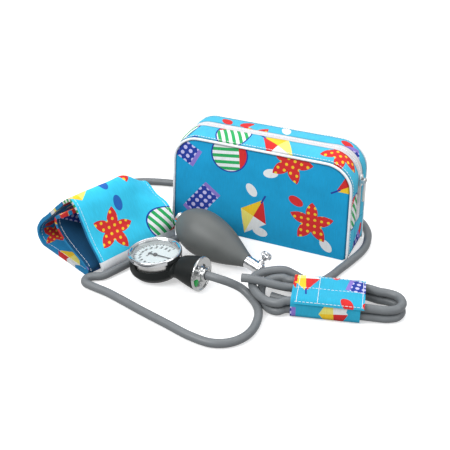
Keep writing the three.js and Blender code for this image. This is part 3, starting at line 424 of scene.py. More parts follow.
def repeated(name, unit, places, body, slot, mat, spread, seed):
    holder = put(name + "Unit", meshOf(name + "Unit", *unit))
    base = meshOf(name + "Spots", [p.translation for p in places])
    turn = base.attributes.new("turn", "QUATERNION", "POINT")
    for spot, p in zip(turn.data, places):
        spot.value = p.to_quaternion()
    spots = put(name + "Spots", base)
    mod = modify(spots, "NODES", node_group=repeatGroup)
    for key, value in (("Unit", holder), ("Material", mat), ("Scale Spread", spread), ("Seed", seed)):
        mod[repeatNames[key]] = value
    mesh = settled(spots)
    mesh.name = name
    bpy.data.objects.remove(spots)
    bpy.data.objects.remove(holder)
    mesh.materials.clear()
    return finishPiece(name, mesh, body, slot, mat, sharp=40)


# Frame on a surface: x along a direction, z along a normal
def spotAt(place, along, up):
    x = Vector(along).normalized()
    z = (Vector(up) - x * Vector(up).dot(x)).normalized()
    y = z.cross(x)
    return Matrix.Translation(place) @ Matrix((x, y, z)).transposed().to_4x4()


def boxUnit(x, y, z, taper=0.75):
    points = []
    for k, s in ((-1, 1.0), (0, 1.0), (1, taper)):
        points += [(i * x / 2 * s, j * y / 2 * s, k * z / 2) for i, j in ((-1, -1), (1, -1), (1, 1), (-1, 1))]
    faces = [(3, 2, 1, 0), (8, 9, 10, 11)]
    for level in (0, 4):
        for i in range(4):
            j = (i + 1) % 4
            faces.append((level + i, level + j, level + 4 + j, level + 4 + i))
    return points, faces


# A stitch: a short thread that dips into the cloth at both ends
def stitchUnit(length, r):
    rings = []
    for s, up, w in ((-0.5, -1.0, 0.55), (-0.36, 0.0, 1.0), (0.0, 0.35, 1.05), (0.36, 0.0, 1.0), (0.5, -1.0, 0.55)):
        turns = [tau * i / 6 for i in range(6)]
        rings.append([(s * length, r * w * math.cos(t), up * r + r * 0.8 * w * math.sin(t)) for t in turns])
    return tubeOf(rings)


def aimed(obj, place, target):
    obj.location = place
    obj.rotation_euler = (Vector(target) - obj.location).to_track_quat("-Z", "Y").to_euler()


# Camera
camera = put("Camera", bpy.data.cameras.new("Camera"))
camera.data.lens = 68
camera.data.sensor_width = 36
camera.data.clip_start = 0.05
aimed(camera, Vector((-42.8, -771.6, 459.3)) * mm, Vector((-42.8, 8.2, 0)) * mm)
scene.camera = camera
scene.render.resolution_x = 450
scene.render.resolution_y = 450

# Frames of the gauge, bulb, cuff, hank and bag
gaugeSet = {"at": (-108.3, -85.4), "yaw": -30, "baseR": 18, "axisZ": 12.2, "plateX": 49.8, "plateR": 17, "plateT": 2}
g = gaugeSet
tip = math.atan((g["plateR"] - g["axisZ"]) / (g["baseR"] + g["plateX"] + g["plateT"]))
gauge = frameAt(*g["at"], g["baseR"] * math.sin(tip), g["yaw"], math.degrees(tip))
neck = gauge @ Matrix.Translation((g["plateX"], 0, g["axisZ"])) @ alongX
bulbSet = {"r": 22.9, "belly": 31.8, "length": 87.6, "neckR": 6.8, "cut": 2.0, "pitch": 10.33, "yaw": -39.5,
           "flat": 0.5, "wall": 2.5}


def bulbRadius(s):
    b = bulbSet
    if s < b["belly"]:
        return b["r"] * math.sqrt(max(0.0, 1 - ((b["belly"] - s) / b["belly"]) ** 2))
    t = (s - b["belly"]) / (b["length"] - b["belly"])
    return b["neckR"] + (b["r"] - b["neckR"]) * (1 - min(1.0, t) ** 1.9) ** 1.2


b = bulbSet
rows = [b["belly"] - (b["belly"] - b["cut"]) * math.cos(i / 7 * math.pi / 2) for i in range(8)]
rows += [b["belly"] + (b["length"] - b["belly"]) * i / 8 for i in range(1, 9)]
tip = math.radians(b["pitch"])
bulbDrop = max(bulbRadius(s) * math.cos(tip) + s * math.sin(tip) for s in rows)
bulb = frameAt(-88.2, -27.8, bulbDrop - b["flat"], b["yaw"], -b["pitch"]) @ alongX
valveSet = {"length": 18.5, "screwAt": 13.6, "roll": 40}
valve = bulb @ Matrix.Translation((0, 0, bulbSet["length"]))
screwFrame = (valve @ Matrix.Translation((0, 0, valveSet["screwAt"]))
              @ Matrix.Rotation(math.radians(valveSet["roll"]), 4, "Z")
              @ Matrix.Rotation(-math.pi / 2, 4, "X"))
cuff = frameAt(-187.9, -66.0, 0, 45.6) @ Matrix.Diagonal((1, -1, 1, 1))
hank = frameAt(49.5, -140, 0, -10)
bag = frameAt(0, 0, 0, -24.4)

# Rubber of the hoses, bulb and ports
hoseSet = {"r": 4.0, "gap": 0.1}
hoseZ = hoseSet["r"] + hoseSet["gap"]


def rubber(name, colour, rough, grain, bump):
    tones = [tuple(c * share for c in colour) for share in (0.86, 1.14)]
    return grainy(material(name), 60.0, 3.0, grain, tones, rough - 0.07, 0.14, bump, 0.0001)


hoseRubber = rubber("hoseRubber", (0.166, 0.178, 0.186), 0.42, 1800.0, 0.25)
bulbRubber = rubber("bulbRubber", (0.114, 0.122, 0.118), 0.5, 1500.0, 0.35)

gaugeRoute = [(-49.5, -118.6, 17.2), (-38, -120, 13.4), (-27.5, -121.6, 8.2), (-19, -130.5, 4.5)] + [
    (x, y, hoseZ) for x, y in (
        (-13.8, -144), (-12.8, -156), (-15.8, -171), (-22, -184), (-31, -192.8), (-42, -197.4), (-55.6, -196.9),
        (-73, -187.5), (-95.8, -169), (-119.5, -149.7), (-139, -133), (-152, -122.3), (-163, -115),
        (-172.05, -108.99), (-174.22, -106.92), (-175.51, -104.21), (-175.53, -101.21), (-174.19, -98.52),
        (-171.85, -96.66), (-168.98, -95.76), (-160.2, -94.6))]
portSet = {"a": 70, "gaugeU": 3, "bulbU": -30, "z": 3.6 + 0.3 + 5.2}


def cuffPoint(a, u, z):
    return cuff @ Vector((a, u, z))


def gaugeHosePoints():
    points = [neck @ Vector((0, 0, z)) for z in (2 + 1.1, 2 + 5, 2 + 9)]
    points += [Vector(p) for p in gaugeRoute]
    frontU = 40.8
    points += [cuffPoint(a, frontU, hoseZ) for a in (12, 30, 50, 70, 88)]
    r = (frontU - portSet["gaugeU"]) / 2
    for t in (90, 45, 0, -45, -90):
        c, s = math.cos(math.radians(t)), math.sin(math.radians(t))
        points.append(cuffPoint(100 + r * c, frontU - r + r * s, hoseZ + (-t / 90 * 2.2 if t < 0 else 0)))
    points.append(cuffPoint(90, portSet["gaugeU"], portSet["z"] - 0.9))
    points += [cuffPoint(a, portSet["gaugeU"], portSet["z"]) for a in (83, 78, 72.9)]
    return points


hankSet = {"turns": 2, "pitch": 8.8, "right": 54, "left": -42, "waist": 16.1, "half": 31, "lift": 1.7,
           "hump": 2.4, "skew": 0.25, "stations": [-36, -24, -12, 0, 12, 24, 36, 47]}


def bulbHosePoints():
    h = hankSet

    def at(p, w, z):
        raised = h["lift"] * (1 - smooth(abs(p), h["half"] + 4, h["half"] + 20))
        return hank @ Vector((p, w, z + raised))

    def runHalf(p):
        left = smooth(-p, h["half"] + 2, h["half"] + 16) * 6
        return h["waist"] + left - smooth(p, h["half"] - 2, h["right"]) * 2.6

    points = [valve @ Vector((0, 0, valveSet["length"] - 2.2 + s)) for s in (0, 3.4, 6.4)]
    points += [hank @ Vector(p) for p in (
        (-56.4, 30.9, 6.8), (-51, 27.9, 4.6), (-44, 22.6, hoseZ + 0.2),
        (-37, 18.2, hoseZ + h["lift"] - 0.2), (-31, 16.5, hoseZ + h["lift"]))]
    for k in range(h["turns"]):
        z = hoseZ + h["pitch"] * k
        last = k == h["turns"] - 1
        above = z + (h["hump"] if last else h["pitch"])
        points += [at(p, runHalf(p), z) for p in h["stations"][1 if k == 0 else 0:]]
        r = runHalf(h["right"])
        for i in range(5):
            t = math.pi / 2 - math.pi * i / 4
            points.append(at(h["right"] + r * math.cos(t), r * math.sin(t), z))
        points += [at(p, -runHalf(p), z) for p in reversed(h["stations"])]
        inner = runHalf(h["left"])
        outer = inner + (9.4 if last else 0)
        for i in range(7):
            t = math.pi * i / 6
            p = h["left"] - (18 + 9 * k) * math.sin(t) * (1 - h["skew"] * math.cos(t))
            w = (outer - inner) / 2 - (inner + outer) / 2 * math.cos(t)
            points.append(at(p, w, z + (above - z) * smooth(i, 1.8, 4.6)))
    points += [hank @ Vector(p) for p in ((-33, 30.6, 12.2), (-24, 30.3, 7.8), (-13, 31.8, 4.6), (-5, 37.4, hoseZ))]
    points += [Vector((x, y, hoseZ)) for x, y in (
        (59.5, -94.4), (67, -85), (77, -73.2), (88.4, -59), (94.8, -49.8), (100, -39.6), (103.1, -28.9),
        (105.3, -16.8), (104.9, -5.9), (102.7, 5), (97.2, 15.8), (87.5, 27.5), (76, 38.5), (62, 49.5), (44, 59.5),
        (20, 69.5), (-8, 78.5), (-40, 85.5), (-72, 91), (-103.9, 96.7), (-122, 99.8), (-140, 100.5), (-154.5, 96.5),
        (-163.5, 87), (-164.5, 76), (-159, 67.5), (-150, 63.5), (-138.4, 61.7), (-130, 56.5), (-126.3, 46.2))]
    u = portSet["bulbU"]
    points += [cuffPoint(112, u, hoseZ + 0.6), cuffPoint(98, u, portSet["z"] - 1.4),
               cuffPoint(88, u, portSet["z"]), cuffPoint(72.9, u, portSet["z"])]
    return points


def hose(name, points, start, length, far, *replaced):
    curve = bpy.data.curves.new(name, "CURVE")
    curve.dimensions = "3D"
    curve.resolution_u = 8
    curve.bevel_depth = hoseSet["r"] * mm
    curve.bevel_resolution = 7
    curve.use_fill_caps = True
    spline = curve.splines.new("BEZIER")
    rows = handles(points)
    spline.bezier_points.add(len(rows) - 1)
    for spot, (place, left, right) in zip(spline.bezier_points, rows):
        spot.handle_left_type = "FREE"
        spot.handle_right_type = "FREE"
        spot.co = place * mm
        spot.handle_left = left * mm
        spot.handle_right = right * mm
    curve.materials.append(hoseRubber)
    obj = put(name, curve)
    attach(obj, "kit")
    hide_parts(*replaced)
    start * mm


gaugePoints = gaugeHosePoints()
hose("gaugeHose", gaugePoints, gaugePoints[0], 0.508, "object", "gauge_hose")
bulbPoints = bulbHosePoints()
hose("bulbHose", bulbPoints, bulbPoints[0], 1.231, "object", "bulb_hose_lead", "hose_hank", "bulb_hose_tail")
spares = {
    "upper": [(-78.7, 2.2, 21.9), (-70, 1.9, 22), (-60, 1.6, 20.6), (-50, 1.6, 18.6), (-40, 2.6, 16.4),
              (-31, 4, 15), (-15, 5.2, 14.8), (5, 5.4, 14.8), (24, 5.4, 14.8)],
    "lower": [(-50.8, -1.4, 7.4), (-45, -2.8, 7), (-38, -4.4, 6.5), (-28, -5.4, 6.1), (-10, -5.6, 6),
              (8, -5.6, 6), (24, -5.6, 6)],
}
boreSet = {"r": 2.3, "t": 0.25}
for key, rows in spares.items():
    points = [hank @ Vector(p) for p in rows]
    line, length = sampled(points, 60)
    hose("spareTube" + key.capitalize(), points, points[-1], length * mm, "bare", "spare_tube_" + key)
    end, way = line[0]
    r, t = boreSet["r"], boreSet["t"]
    # Painted shade: a near-black disc on each cut end of the solid hose stands in for the dark hollow bore
    lathe("spareBore" + key.capitalize(), [(0, 0), (r, 0), (r, t), (0, t)], 24,
          spotAt(end, way, (0, 0, 1)) @ alongX @ Matrix.Translation((0, 0, -0.12)), "kit", "hose_rubber",
          rubber("boreDark" + key, (0.02, 0.02, 0.022), 0.8, 900.0, 0.1))
print("hoses")


# Metals
def metal(name, colour, rough, scratch=0.12, pits=0.06):
    tones = (tuple(c * 0.93 for c in colour), colour)
    return grainy(material(name, Metallic=1.0), 90.0, 4.0, 1400.0, tones, rough, scratch, pits, 0.00005)


chrome = metal("chrome", (0.8, 0.81, 0.83), 0.07, 0.06, 0.01)
plateChrome = metal("plateChrome", (0.6, 0.61, 0.61), 0.1, 0.06, 0.01)
steel = metal("steel", (0.6, 0.61, 0.62), 0.24)
satin = metal("satin", (0.86, 0.85, 0.84), 0.3)
brass = metal("brass", (0.76, 0.58, 0.27), 0.25)

# Moulded black plastic with a fine spark-eroded grain
plastic = material("blackPlastic", Specular_IOR_Level=0.22)
where = plastic.node("TexCoord", 3)
haze = plastic.noise(where, 70.0)
plastic.give("Base Color", plastic.mix(haze, (0.008, 0.0095, 0.0095), (0.013, 0.0155, 0.0155)))
plastic.give("Roughness", haze * 0.14 + 0.42)
plastic.bump(0.3, 0.00006, plastic.node("TexVoronoi", 0, {"Vector": where, "Scale": 2600.0}))


def ovalRow(x, halfW, halfH, rise=0.0, n=72):
    turns = [tau * i / n for i in range(n)]
    z = gaugeSet["axisZ"] + rise
    return [gauge @ Vector((x, halfW * math.cos(t), z + halfH * math.sin(t))) for t in turns]


def tubeOf(rows):
    n = len(rows[0])
    faces = [tuple(range(n)), tuple(range(len(rows) * n - 1, (len(rows) - 1) * n - 1, -1))]
    for k in range(len(rows) - 1):
        for i in range(n):
            j = (i + 1) % n
            faces.append((k * n + i, k * n + n + i, k * n + n + j, k * n + j))
    return [p for row in rows for p in row], faces


def rawObject(name, points, faces):
    return put(name, soundMesh(name, points, faces, weld=True, thin=False))


# Cuts and joins, then evens the mesh out so that its edges round off a little
def combine(base, tools, voxel, polish):
    for operation, tool in tools:
        modify(base, "BOOLEAN", operation=operation, object=tool, solver="EXACT")
    modify(base, "REMESH", mode="VOXEL", voxel_size=voxel * mm)
    modify(base, "SMOOTH", iterations=polish, factor=0.5)
    mesh = settled(base)
    for obj in [base] + [tool for _, tool in tools]:
        bpy.data.objects.remove(obj)
    return mesh


# Gauge case: a chamfered cup with two rim notches and a flared neck
caseSet = {"r": 25.6, "h": 21, "chamfer": 8, "inner": 23.6, "floor": 3, "notch": (31, 106), "notchZ": 15.2}
neckRows = [(14, 12.6, 8.7, 0), (26.4, 12.4, 8.7, 0), (29.5, 13.2, 10.6, 1.9), (36, 14.2, 13.3, 1.1),
            (43, 15.4, 15.2, 0.5), (49.5, 16.5, 16.5, 0)]


def neckRise(x):
    for a, b in zip(neckRows, neckRows[1:]):
        if x <= b[0]:
            return a[3] + (b[3] - a[3]) * (x - a[0]) / (b[0] - a[0])
    return 0.0


def neckLoft(name, thin, extra):
    lines, _ = sampled([(x, w - thin, h - thin) for x, w, h, _ in neckRows], 26)
    rows = [ovalRow(p.x, p.y, p.z, neckRise(p.x)) for p, _ in lines]
    if extra:
        x, w, h, _ = neckRows[-1]
        rows.append(ovalRow(x + extra, w - thin, h - thin))
    return rawObject(name, *tubeOf(rows))


def notchTool(name, low, high):
    points = []
    for z in (caseSet["notchZ"], caseSet["h"] + 1):
        for r, back in ((22.6, False), (29.6, True)):
            for i in range(25):
                t = math.radians(low + (high - low) * ((24 - i) if back else i) / 24)
                points.append(gauge @ Vector((*polar(r, t), z)))
    n = 50
    faces = [tuple(range(n - 1, -1, -1)), tuple(range(n, 2 * n))]
    faces += [(i, (i + 1) % n, n + (i + 1) % n, n + i) for i in range(n)]
    return rawObject(name, points, faces)


c = caseSet
base = gaugeSet["baseR"]
cup = rawObject("caseCup", *turned([
    (0, 0), (base, 0), (base + 2.6, 1.4), (c["r"] - 0.9, c["chamfer"] - 2), (c["r"], c["chamfer"]),
    (c["r"], c["h"]), (0, c["h"])], 120, gauge))
room = rawObject("caseRoom", *turned([
    (0, c["floor"]), (c["inner"] - 6, c["floor"]), (c["inner"], c["floor"] + 5.8), (c["inner"], c["h"] + 1),
    (0, c["h"] + 1)], 120, gauge))
low, high = c["notch"]
caseMesh = combine(cup, [
    ("UNION", neckLoft("neckOut", 0, 0)), ("DIFFERENCE", room), ("DIFFERENCE", neckLoft("neckIn", 2.2, 1)),
    ("DIFFERENCE", notchTool("notchA", low, high)), ("DIFFERENCE", notchTool("notchB", -high, -low))], 0.5, 3)
finishPiece("gaugeCase", caseMesh, "kit", "black_housing", plastic.made, ["gauge_case"], 40)

lathe("gaugeBezel", eased([
    (24.5, 21.3), (26, 21.3), (26, 24.9), (25.3, 25.9), (24.3, 26), (22.8, 24.4), (22.8, 23.95), (24.5, 23.95),
    (24.5, 21.35)], 0.5, 4), 144, gauge, "kit", "chrome", chrome, "gauge_bezel")

# Lens: clear, with a faint green edge, seen through without noise
glass = material("lensGlass", Roughness=0.02, Base_Color=(0.95, 0.98, 1.0))
clear = glass.node("BsdfTransparent", 0, {"Color": (0.97, 0.985, 0.985)})
shine = glass.node("Fresnel", 0, {"IOR": 1.45}) * glass.node("NewGeometry", 6).flip()
glass.plug(glass.out, glass.node("MixShader", 0, {0: shine, 1: clear, 2: Sock(glass, glass.body.outputs[0])}))
lathe("gaugeLens", eased([(0, 22.4), (24.2, 22.4), (24.2, 23.1), (22.4, 23.6), (0, 23.7)], 0.4), 96,
      gauge, "kit", "lens", glass.made, "gauge_lens")

# Dial: printed scale of marks over the sweep, then figures as thin ink
dialSet = {"r": 22.2, "bore": 2, "top": 19.8, "t": 0.6, "span": 50.0, "marks": 21.4, "figuresR": 15.0,
           "labels": range(0, 301, 20), "size": 3.0, "unitX": -7.2, "unitSize": 3.6, "ink": 0.04}
dialPaint = material("dialPaint", Roughness=0.6, Specular_IOR_Level=0.2)


def dialInk(m):
    x, y, _ = m.axes(m.node("VertexColor", 0, layer_name="spot"))
    x = (x - 0.5) * dialSet["span"]
    y = (y - 0.5) * dialSet["span"]
    r = (x * x + y * y).calc("SQRT")
    turn = (y * -1.0).calc("ARCTAN2", x) * (180 / math.pi)
    turn = turn + (turn < -1.5) * 360.0
    end = dialSet["marks"]
    ink = (r - (end + 0.1)).size() < 0.12
    for every, width, length in ((2.0, 10.0, 1.5), (10.0, 15.0, 2.4), (20.0, 22.0, 3.1)):
        away = ((turn / every + 0.5).part() - 0.5).size() * every
        ink = ink.calc("MAXIMUM", (away * r < width) * (r > end - length) * (r < end))
    return ink * (turn < 301.2)


d = dialSet
bottom = d["top"] - d["t"]
dial = lathe("gaugeDial", [(d["bore"], bottom), (d["r"], bottom), (d["r"], d["top"]), (d["bore"], d["top"]),
                           (d["bore"], bottom)], 96, gauge, "kit", "dial", dialPaint.made, "gauge_dial")
backGauge = gauge.inverted()
spot = dial.data.color_attributes.new("spot", "FLOAT_COLOR", "POINT")
for v in dial.data.vertices:
    q = backGauge @ (v.co / mm)
    spot.data[v.index].color = (q.x / d["span"] + 0.5, q.y / d["span"] + 0.5, 0, 1)
dialPaint.give("Base Color", dialPaint.mix(dialInk(dialPaint), (0.66, 0.68, 0.68), (0.02, 0.02, 0.025)))


def figures(name, words, mat):
    work = bmesh.new()
    z = dialSet["top"] + dialSet["ink"]
    for text, x, y, size in words:
        font = bpy.data.curves.new(name, "FONT")
        font.body = text
        font.size = size * mm
        font.align_x = "CENTER"
        font.align_y = "CENTER"
        font.extrude = 0.02 * mm
        font.offset = 0.13 * mm
        holder = put(name, font)
        mesh = settled(holder)
        place = gauge @ Matrix.Translation((x, y, z)) @ Matrix.Rotation(math.pi / 2, 4, "Z")
        place.translation *= mm
        mesh.transform(place)
        work.from_mesh(mesh)
        bpy.data.objects.remove(holder)
    bmesh.ops.remove_doubles(work, verts=work.verts, dist=1e-7)
    mesh = bpy.data.meshes.new(name)
    work.to_mesh(mesh)
    work.free()
    finishPiece(name, mesh, "kit", "dial", mat)


words = []
for value in d["labels"]:
    words.append((str(value), *polar(d["figuresR"], math.radians(-value)), d["size"]))
figures("dialFigures", words + [("mmHg", d["unitX"], 0, d["unitSize"])],
        material("inkBlack", Roughness=0.55, Base_Color=(0.03, 0.03, 0.035)).made)

# End plate: rolled rim, ringed face and hub, and its green spot
f = gaugeSet["plateT"]
lathe("gaugeEndPlate", eased([
    (2.8, 0), (16.4, 0), (17, 0.6), (17, f), (16.3, f + 0.7), (15.3, f + 0.5), (14.5, f - 0.1), (13.4, f - 0.5),
    (11.6, f - 0.7), (9.6, f - 0.6), (8.2, f - 0.2), (7.3, f + 0.6), (6.8, f + 1.8), (6.5, f + 4.4), (5.7, f + 5.2),
    (4.45, f + 5.2), (4.45, f + 0.7), (2.8, f + 0.7), (2.8, 0.05)], 0.4, 4), 120, neck, "kit", "chrome",
      plateChrome, "gauge_end_plate")
lathe("gaugeSpot", [(0, 0), (3.4, 0), (3.4, 0.6), (3.1, 0.75), (0, 0.85)], 40,
      neck @ Matrix.Translation((4.6, -9.8, f - 0.55)), "kit", "dial",
      painted("greenPaint", 0.35, 900.0, (0.012, 0.33, 0.06), (0.02, 0.5, 0.1)))


def coat(mat, *names):
    for name in names:
        nodes[name].data.materials.clear()
        nodes[name].data.materials.append(mat)


coat(satin, "gauge_can", "zip_slider", "zip_pull")
coat(steel, "end_plate_screw_1", "end_plate_screw_2", "end_plate_screw_3")
coat(brass, "gauge_sector_wheel", "gauge_pinion_arbor", "gauge_movement_base", "gauge_movement_top",
     "gauge_capsule", "gauge_stem")
coat(chrome, "inlet_valve_body")
coat(hoseRubber, "inlet_valve_disc")
coat(painted("pointerPaint", 0.45, 300.0, (0.02, 0.02, 0.022), (0.045, 0.045, 0.05)), "gauge_pointer")
print("gauge")

# Bulb, its inside and its two mouths; it lies flat on the table
b = bulbSet
rows = [b["cut"] + (b["length"] - b["cut"]) * (i / 60) ** 1.35 for i in range(61)]
outer = [(bulbRadius(s), s) for s in rows]
inner = [(r - b["wall"], s) for r, s in outer if r > 8 and 5 < s < 78][::-1]
profile = outer + [(4.9, b["length"]), (4.9, 77)] + inner + [(5.3, 4.5), (5.3, b["cut"]), outer[0]]
points, faces = turned(profile, 96, bulb)
points = [Vector((p.x, p.y, max(0.0, p.z))) for p in points]
makePiece("bulbShell", points, faces, "kit", "bulb_rubber", bulbRubber, ["bulb"], weld=True)

# Release valve: barrel, side boss and thumb screw
lathe("valveBarrel", eased([
    (1.6, -10), (4, -10), (4.6, -9.2), (4.6, 0.3), (6.4, 0.3), (6.4, 1.8), (5.9, 2.4), (5.9, 9.6), (5.5, 10),
    (5.9, 10.4), (5.9, 17.5), (5, 18.5), (4.45, 18.5), (4.45, 16), (1.6, 16), (1.6, -9.9)], 0.3, 3), 72, valve,
      "kit", "chrome", chrome, "release_valve_body")
lathe("valveBoss", eased([(1.95, 4), (3.4, 4), (3.4, 7.2), (2.9, 7.9), (1.95, 7.9), (1.95, 4.05)], 0.3, 3), 48,
      screwFrame, "kit", "chrome", chrome)


def knurled(r, depth, ribs, z0, z1):
    n = ribs * 6
    rows = []
    for z, k in ((z0, -0.5), (z0, 0.0), (z0 + 0.4, 0.9), (z0 + 0.7, 1.0), (z1 - 1.7, 1.0), (z1 - 1.5, 0.9),
                 (z1 - 1.4, 0.1), (z1 - 1.1, 0.1), (z1 - 0.9, 0.5), (z1 - 0.5, 0.5), (z1 - 0.2, 0.1),
                 (z1 + 0.2, -0.6), (z1 + 0.5, -1.6), (z1 + 0.7, -3.2)):
        row = []
        for i in range(n):
            t = tau * i / n
            wave = 0.5 + 0.5 * math.cos(ribs * t)
            rr = r + min(k, 0) - (1 - k if k > 0 else 1) * 0.5 - (depth * wave if k > 0.5 else depth)
            row.append(screwFrame @ Vector((*polar(rr, t), z)))
        rows.append(row)
    return tubeOf(rows)


makePiece("thumbScrewKnob", *knurled(5.5, 0.35, 30, 12.2, 17.1), "thumb_screw", "chrome", chrome,
          ["release_thumb_screw"], sharp=50)
lathe("thumbScrewStem", eased([
    (0, 1.4), (0.6, 1.8), (1.6, 3.2), (1.6, 9), (2.4, 9.6), (3.6, 12.3), (0, 12.3)], 0.3, 3), 48,
      screwFrame, "thumb_screw", "chrome", chrome)
print("bulb")


# Cloth: a generic print of balls, stars, kites, spotted tiles and small ovals on a woven ground
def printTree():
    s, ask, end = groupOf("Print", "ShaderNodeTree", [
        ("Cloth", "Vector"), ("Cell", "Float"), ("Seed", "Float"), ("Ground", "Color")], [("Color", "Color")])
    red = (0.72, 0.03, 0.03)
    yellow = (0.95, 0.62, 0.03)
    navy = (0.02, 0.05, 0.35)
    violet = (0.28, 0.2, 0.62)
    grass = (0.03, 0.42, 0.12)
    white = (0.88, 0.9, 0.9)

    def cell(size, salt, shake, odd):
        u, v, _ = s.axes(ask["Cloth"])
        v = v / size
        rowNo = v.whole()
        u = u / size + rowNo * odd
        colNo = u.whole()
        spin = s.node("TexWhiteNoise", "Color", {"Vector": s.joined(colNo, rowNo, ask["Seed"] + salt)},
                      noise_dimensions="3D")
        pick = Sock(s, spin.socket.node.outputs["Value"])
        ra, rb, rc = s.axes(spin)
        x = u.part() - 0.5 - (ra - 0.5) * shake
        y = v.part() - 0.5 - (rb - 0.5) * shake
        cosT = (rc * tau).calc("COSINE")
        sinT = (rc * tau).calc("SINE")
        return x * cosT + y * sinT, y * cosT - x * sinT, pick, rb

    x, y, pick, _ = cell(ask["Cell"], 0.0, 0.24, 0.37)
    d = (x * x + y * y).calc("SQRT")
    turn = y.calc("ARCTAN2", x) / tau + 0.5
    colour = ask["Ground"]
    ink = None

    def layer(mask, tint, chosen):
        nonlocal colour, ink
        mask = mask * chosen
        colour = s.mix(mask, colour, tint)
        ink = mask if ink is None else ink.calc("MAXIMUM", mask)

    # Ball with green and white stripes and a red cap
    ball = pick < 0.24
    stripes = s.mix((x * 9.0).part() < 0.5, white, grass)
    layer(d < 0.31, stripes, ball)
    layer((d < 0.31) * (y > 0.17), red, ball)
    layer((d - 0.31).size() < 0.012, navy, ball)
    # Red star with yellow spots
    star = (pick > 0.24) * (pick < 0.47)
    reach = ((turn * 5.0).part() - 0.5).size() * -0.42 + 0.37
    across, along = (x * 9.0).part() - 0.5, (y * 9.0).part() - 0.5
    dots = across * across + along * along
    layer(d < reach, s.mix(dots < 0.05, red, yellow), star)
    # Kite in four colours
    kite = (pick > 0.47) * (pick < 0.7)
    shape = x.size() / 0.24 + y.size() / 0.38
    quarters = s.mix((x * y) > 0.0, s.mix(y > 0.0, yellow, white), s.mix(y > 0.0, red, (0.95, 0.85, 0.2)))
    layer(shape < 1.0, quarters, kite)
    layer((y < -0.3) * (x.size() < 0.015) * (y > -0.47), navy, kite)
    # Spotted tile in navy and violet
    tile = pick > 0.7
    inTile = (x.size() < 0.17) * (y.size() < 0.34)
    layer(inTile, s.mix(dots < 0.1, navy, (0.62, 0.58, 0.9)), tile)
    layer(inTile * (y.size() > 0.27), violet, tile)
    # Small loose ovals in the free ground
    x, y, pick, rb = cell(ask["Cell"] * 0.37, 7.0, 0.3, 0.21)
    oval = ((x * x) / 0.045 + (y * y) / 0.12) < 1.0
    free = ink.flip() * (pick < 0.2)
    tint = s.mix(rb < 0.35, s.mix(rb < 0.7, (0.02, 0.14, 0.5), white), red)
    colour = s.mix(oval * free, colour, tint)
    s.plug(end.inputs["Color"], colour)
    return s.tree


printGroup = printTree()


def cloth(name, ground, weave, shade=1.0, cell=None, seed=0.0):
    m = material(name, Roughness=0.85, Specular_IOR_Level=0.22, Sheen_Weight=0.06, Sheen_Roughness=0.5)
    where = m.node("UVMap", 0, uv_map="cloth")
    u, v, _ = m.axes(where)
    colour = m.mix(0.0, ground, ground)
    if cell:
        colour = m.bare("ShaderNodeGroup", "Color", {"Cloth": where, "Cell": cell, "Seed": seed, "Ground": ground},
                        node_tree=printGroup)
    over = (u * (tau / weave)).calc("SINE")
    under = (v * (tau / weave)).calc("SINE")
    thread = over * under * 0.25 + over.size() * 0.25 + under.size() * 0.25
    cloud = m.noise(where, 45.0, 3.0)
    slub = m.noise(m.joined(u, v * 0.12), 900.0, 1.0)
    # Painted shade: the tone drops by up to 62% where the seam attribute is set, a shadow line painted along the
    # piping and zip seams
    seam = m.node("Attribute", 2, attribute_name="seam")
    tone = (thread * 0.2 + cloud * 0.24 + slub * 0.2 + (0.62 * shade)) * (seam * -0.62 + 1.0)
    m.give("Base Color", m.node("VectorMath", 0, {0: colour, 1: m.joined(tone, tone, tone)}, operation="MULTIPLY"))
    m.bump(0.5, 0.00018, thread * 0.6 + m.noise(where, 2200.0, 1.0) * 0.4)
    return m.made


cuffCloth = cloth("cuffCloth", (0.042, 0.6, 0.86), 0.0006, 1.08, cell=0.062, seed=8.0)
# Painted shade: the print side of the cuff's inner turn, the same print as cuffCloth on a much darker ground and
# tone, stands in for the shade inside the roll
shadedInnerCloth = cloth("shadedInnerCloth", (0.008, 0.085, 0.2), 0.0006, 0.72, cell=0.05, seed=14.0)
liningCloth = cloth("liningCloth", (0.012, 0.26, 0.55), 0.0006, 0.76, cell=0.05, seed=9.0)
frontCloth = cloth("bagFrontCloth", (0.01, 0.37, 0.68), 0.0011, cell=0.064, seed=21.0)
# Partly painted light: the gusset's ground is paler and brighter than the front panel's, with the light from above
# that falls on the gusset painted into its colour
litSideCloth = cloth("bagSideCloth", (0.07, 0.52, 0.74), 0.0011, 1.05, cell=0.06, seed=33.0)
wrapCloth = cloth("wrapCloth", (0.03, 0.44, 0.66), 0.0007, 1.06, cell=0.054, seed=5.0)
insideCloth = cloth("insideCloth", (0.3, 0.36, 0.42), 0.0012)
whiteTape = cloth("whiteTape", (0.9, 0.91, 0.92), 0.0009, 1.12)
zipTape = cloth("zipTape", (0.72, 0.69, 0.7), 0.0009)
threadWhite = painted("threadWhite", 0.6, 1500.0, (0.74, 0.77, 0.8), (0.92, 0.93, 0.94))

# Cuff: the rolled sheet, its bound edges, its white end tape and its stitching
cuffSet = {"width": 94, "t": 3.6, "edge": 2.6, "end": 12.5, "shift": 4, "creep": -16, "steps": 260,
           "sag": 16, "swell": 13, "innerFrom": 0.7}
cuffPath = [(33.3, 0.3), (33.6, 8), (28.8, 17.5), (18.9, 32), (9.6, 52.5), (3.2, 64.5), (-3.5, 69.4),
            (-10.8, 65.5), (-23.5, 54.5), (-40, 38.8), (-53.5, 26.5), (-59.8, 16.5), (-59.2, 7.5), (-52, 1.8),
            (-40, 1.8), (-20, 1.8), (0, 1.8), (17, 1.8), (24.5, 3.4), (25.8, 8.2), (20.5, 13.4), (11, 19.4),
            (1, 25.5), (-8, 33), (-14, 42), (-13.5, 50), (-7.5, 54.8), (-2, 57.2)]
cuffLine, cuffLength = sampled([(u, z, 0) for u, z in cuffPath], cuffSet["steps"])


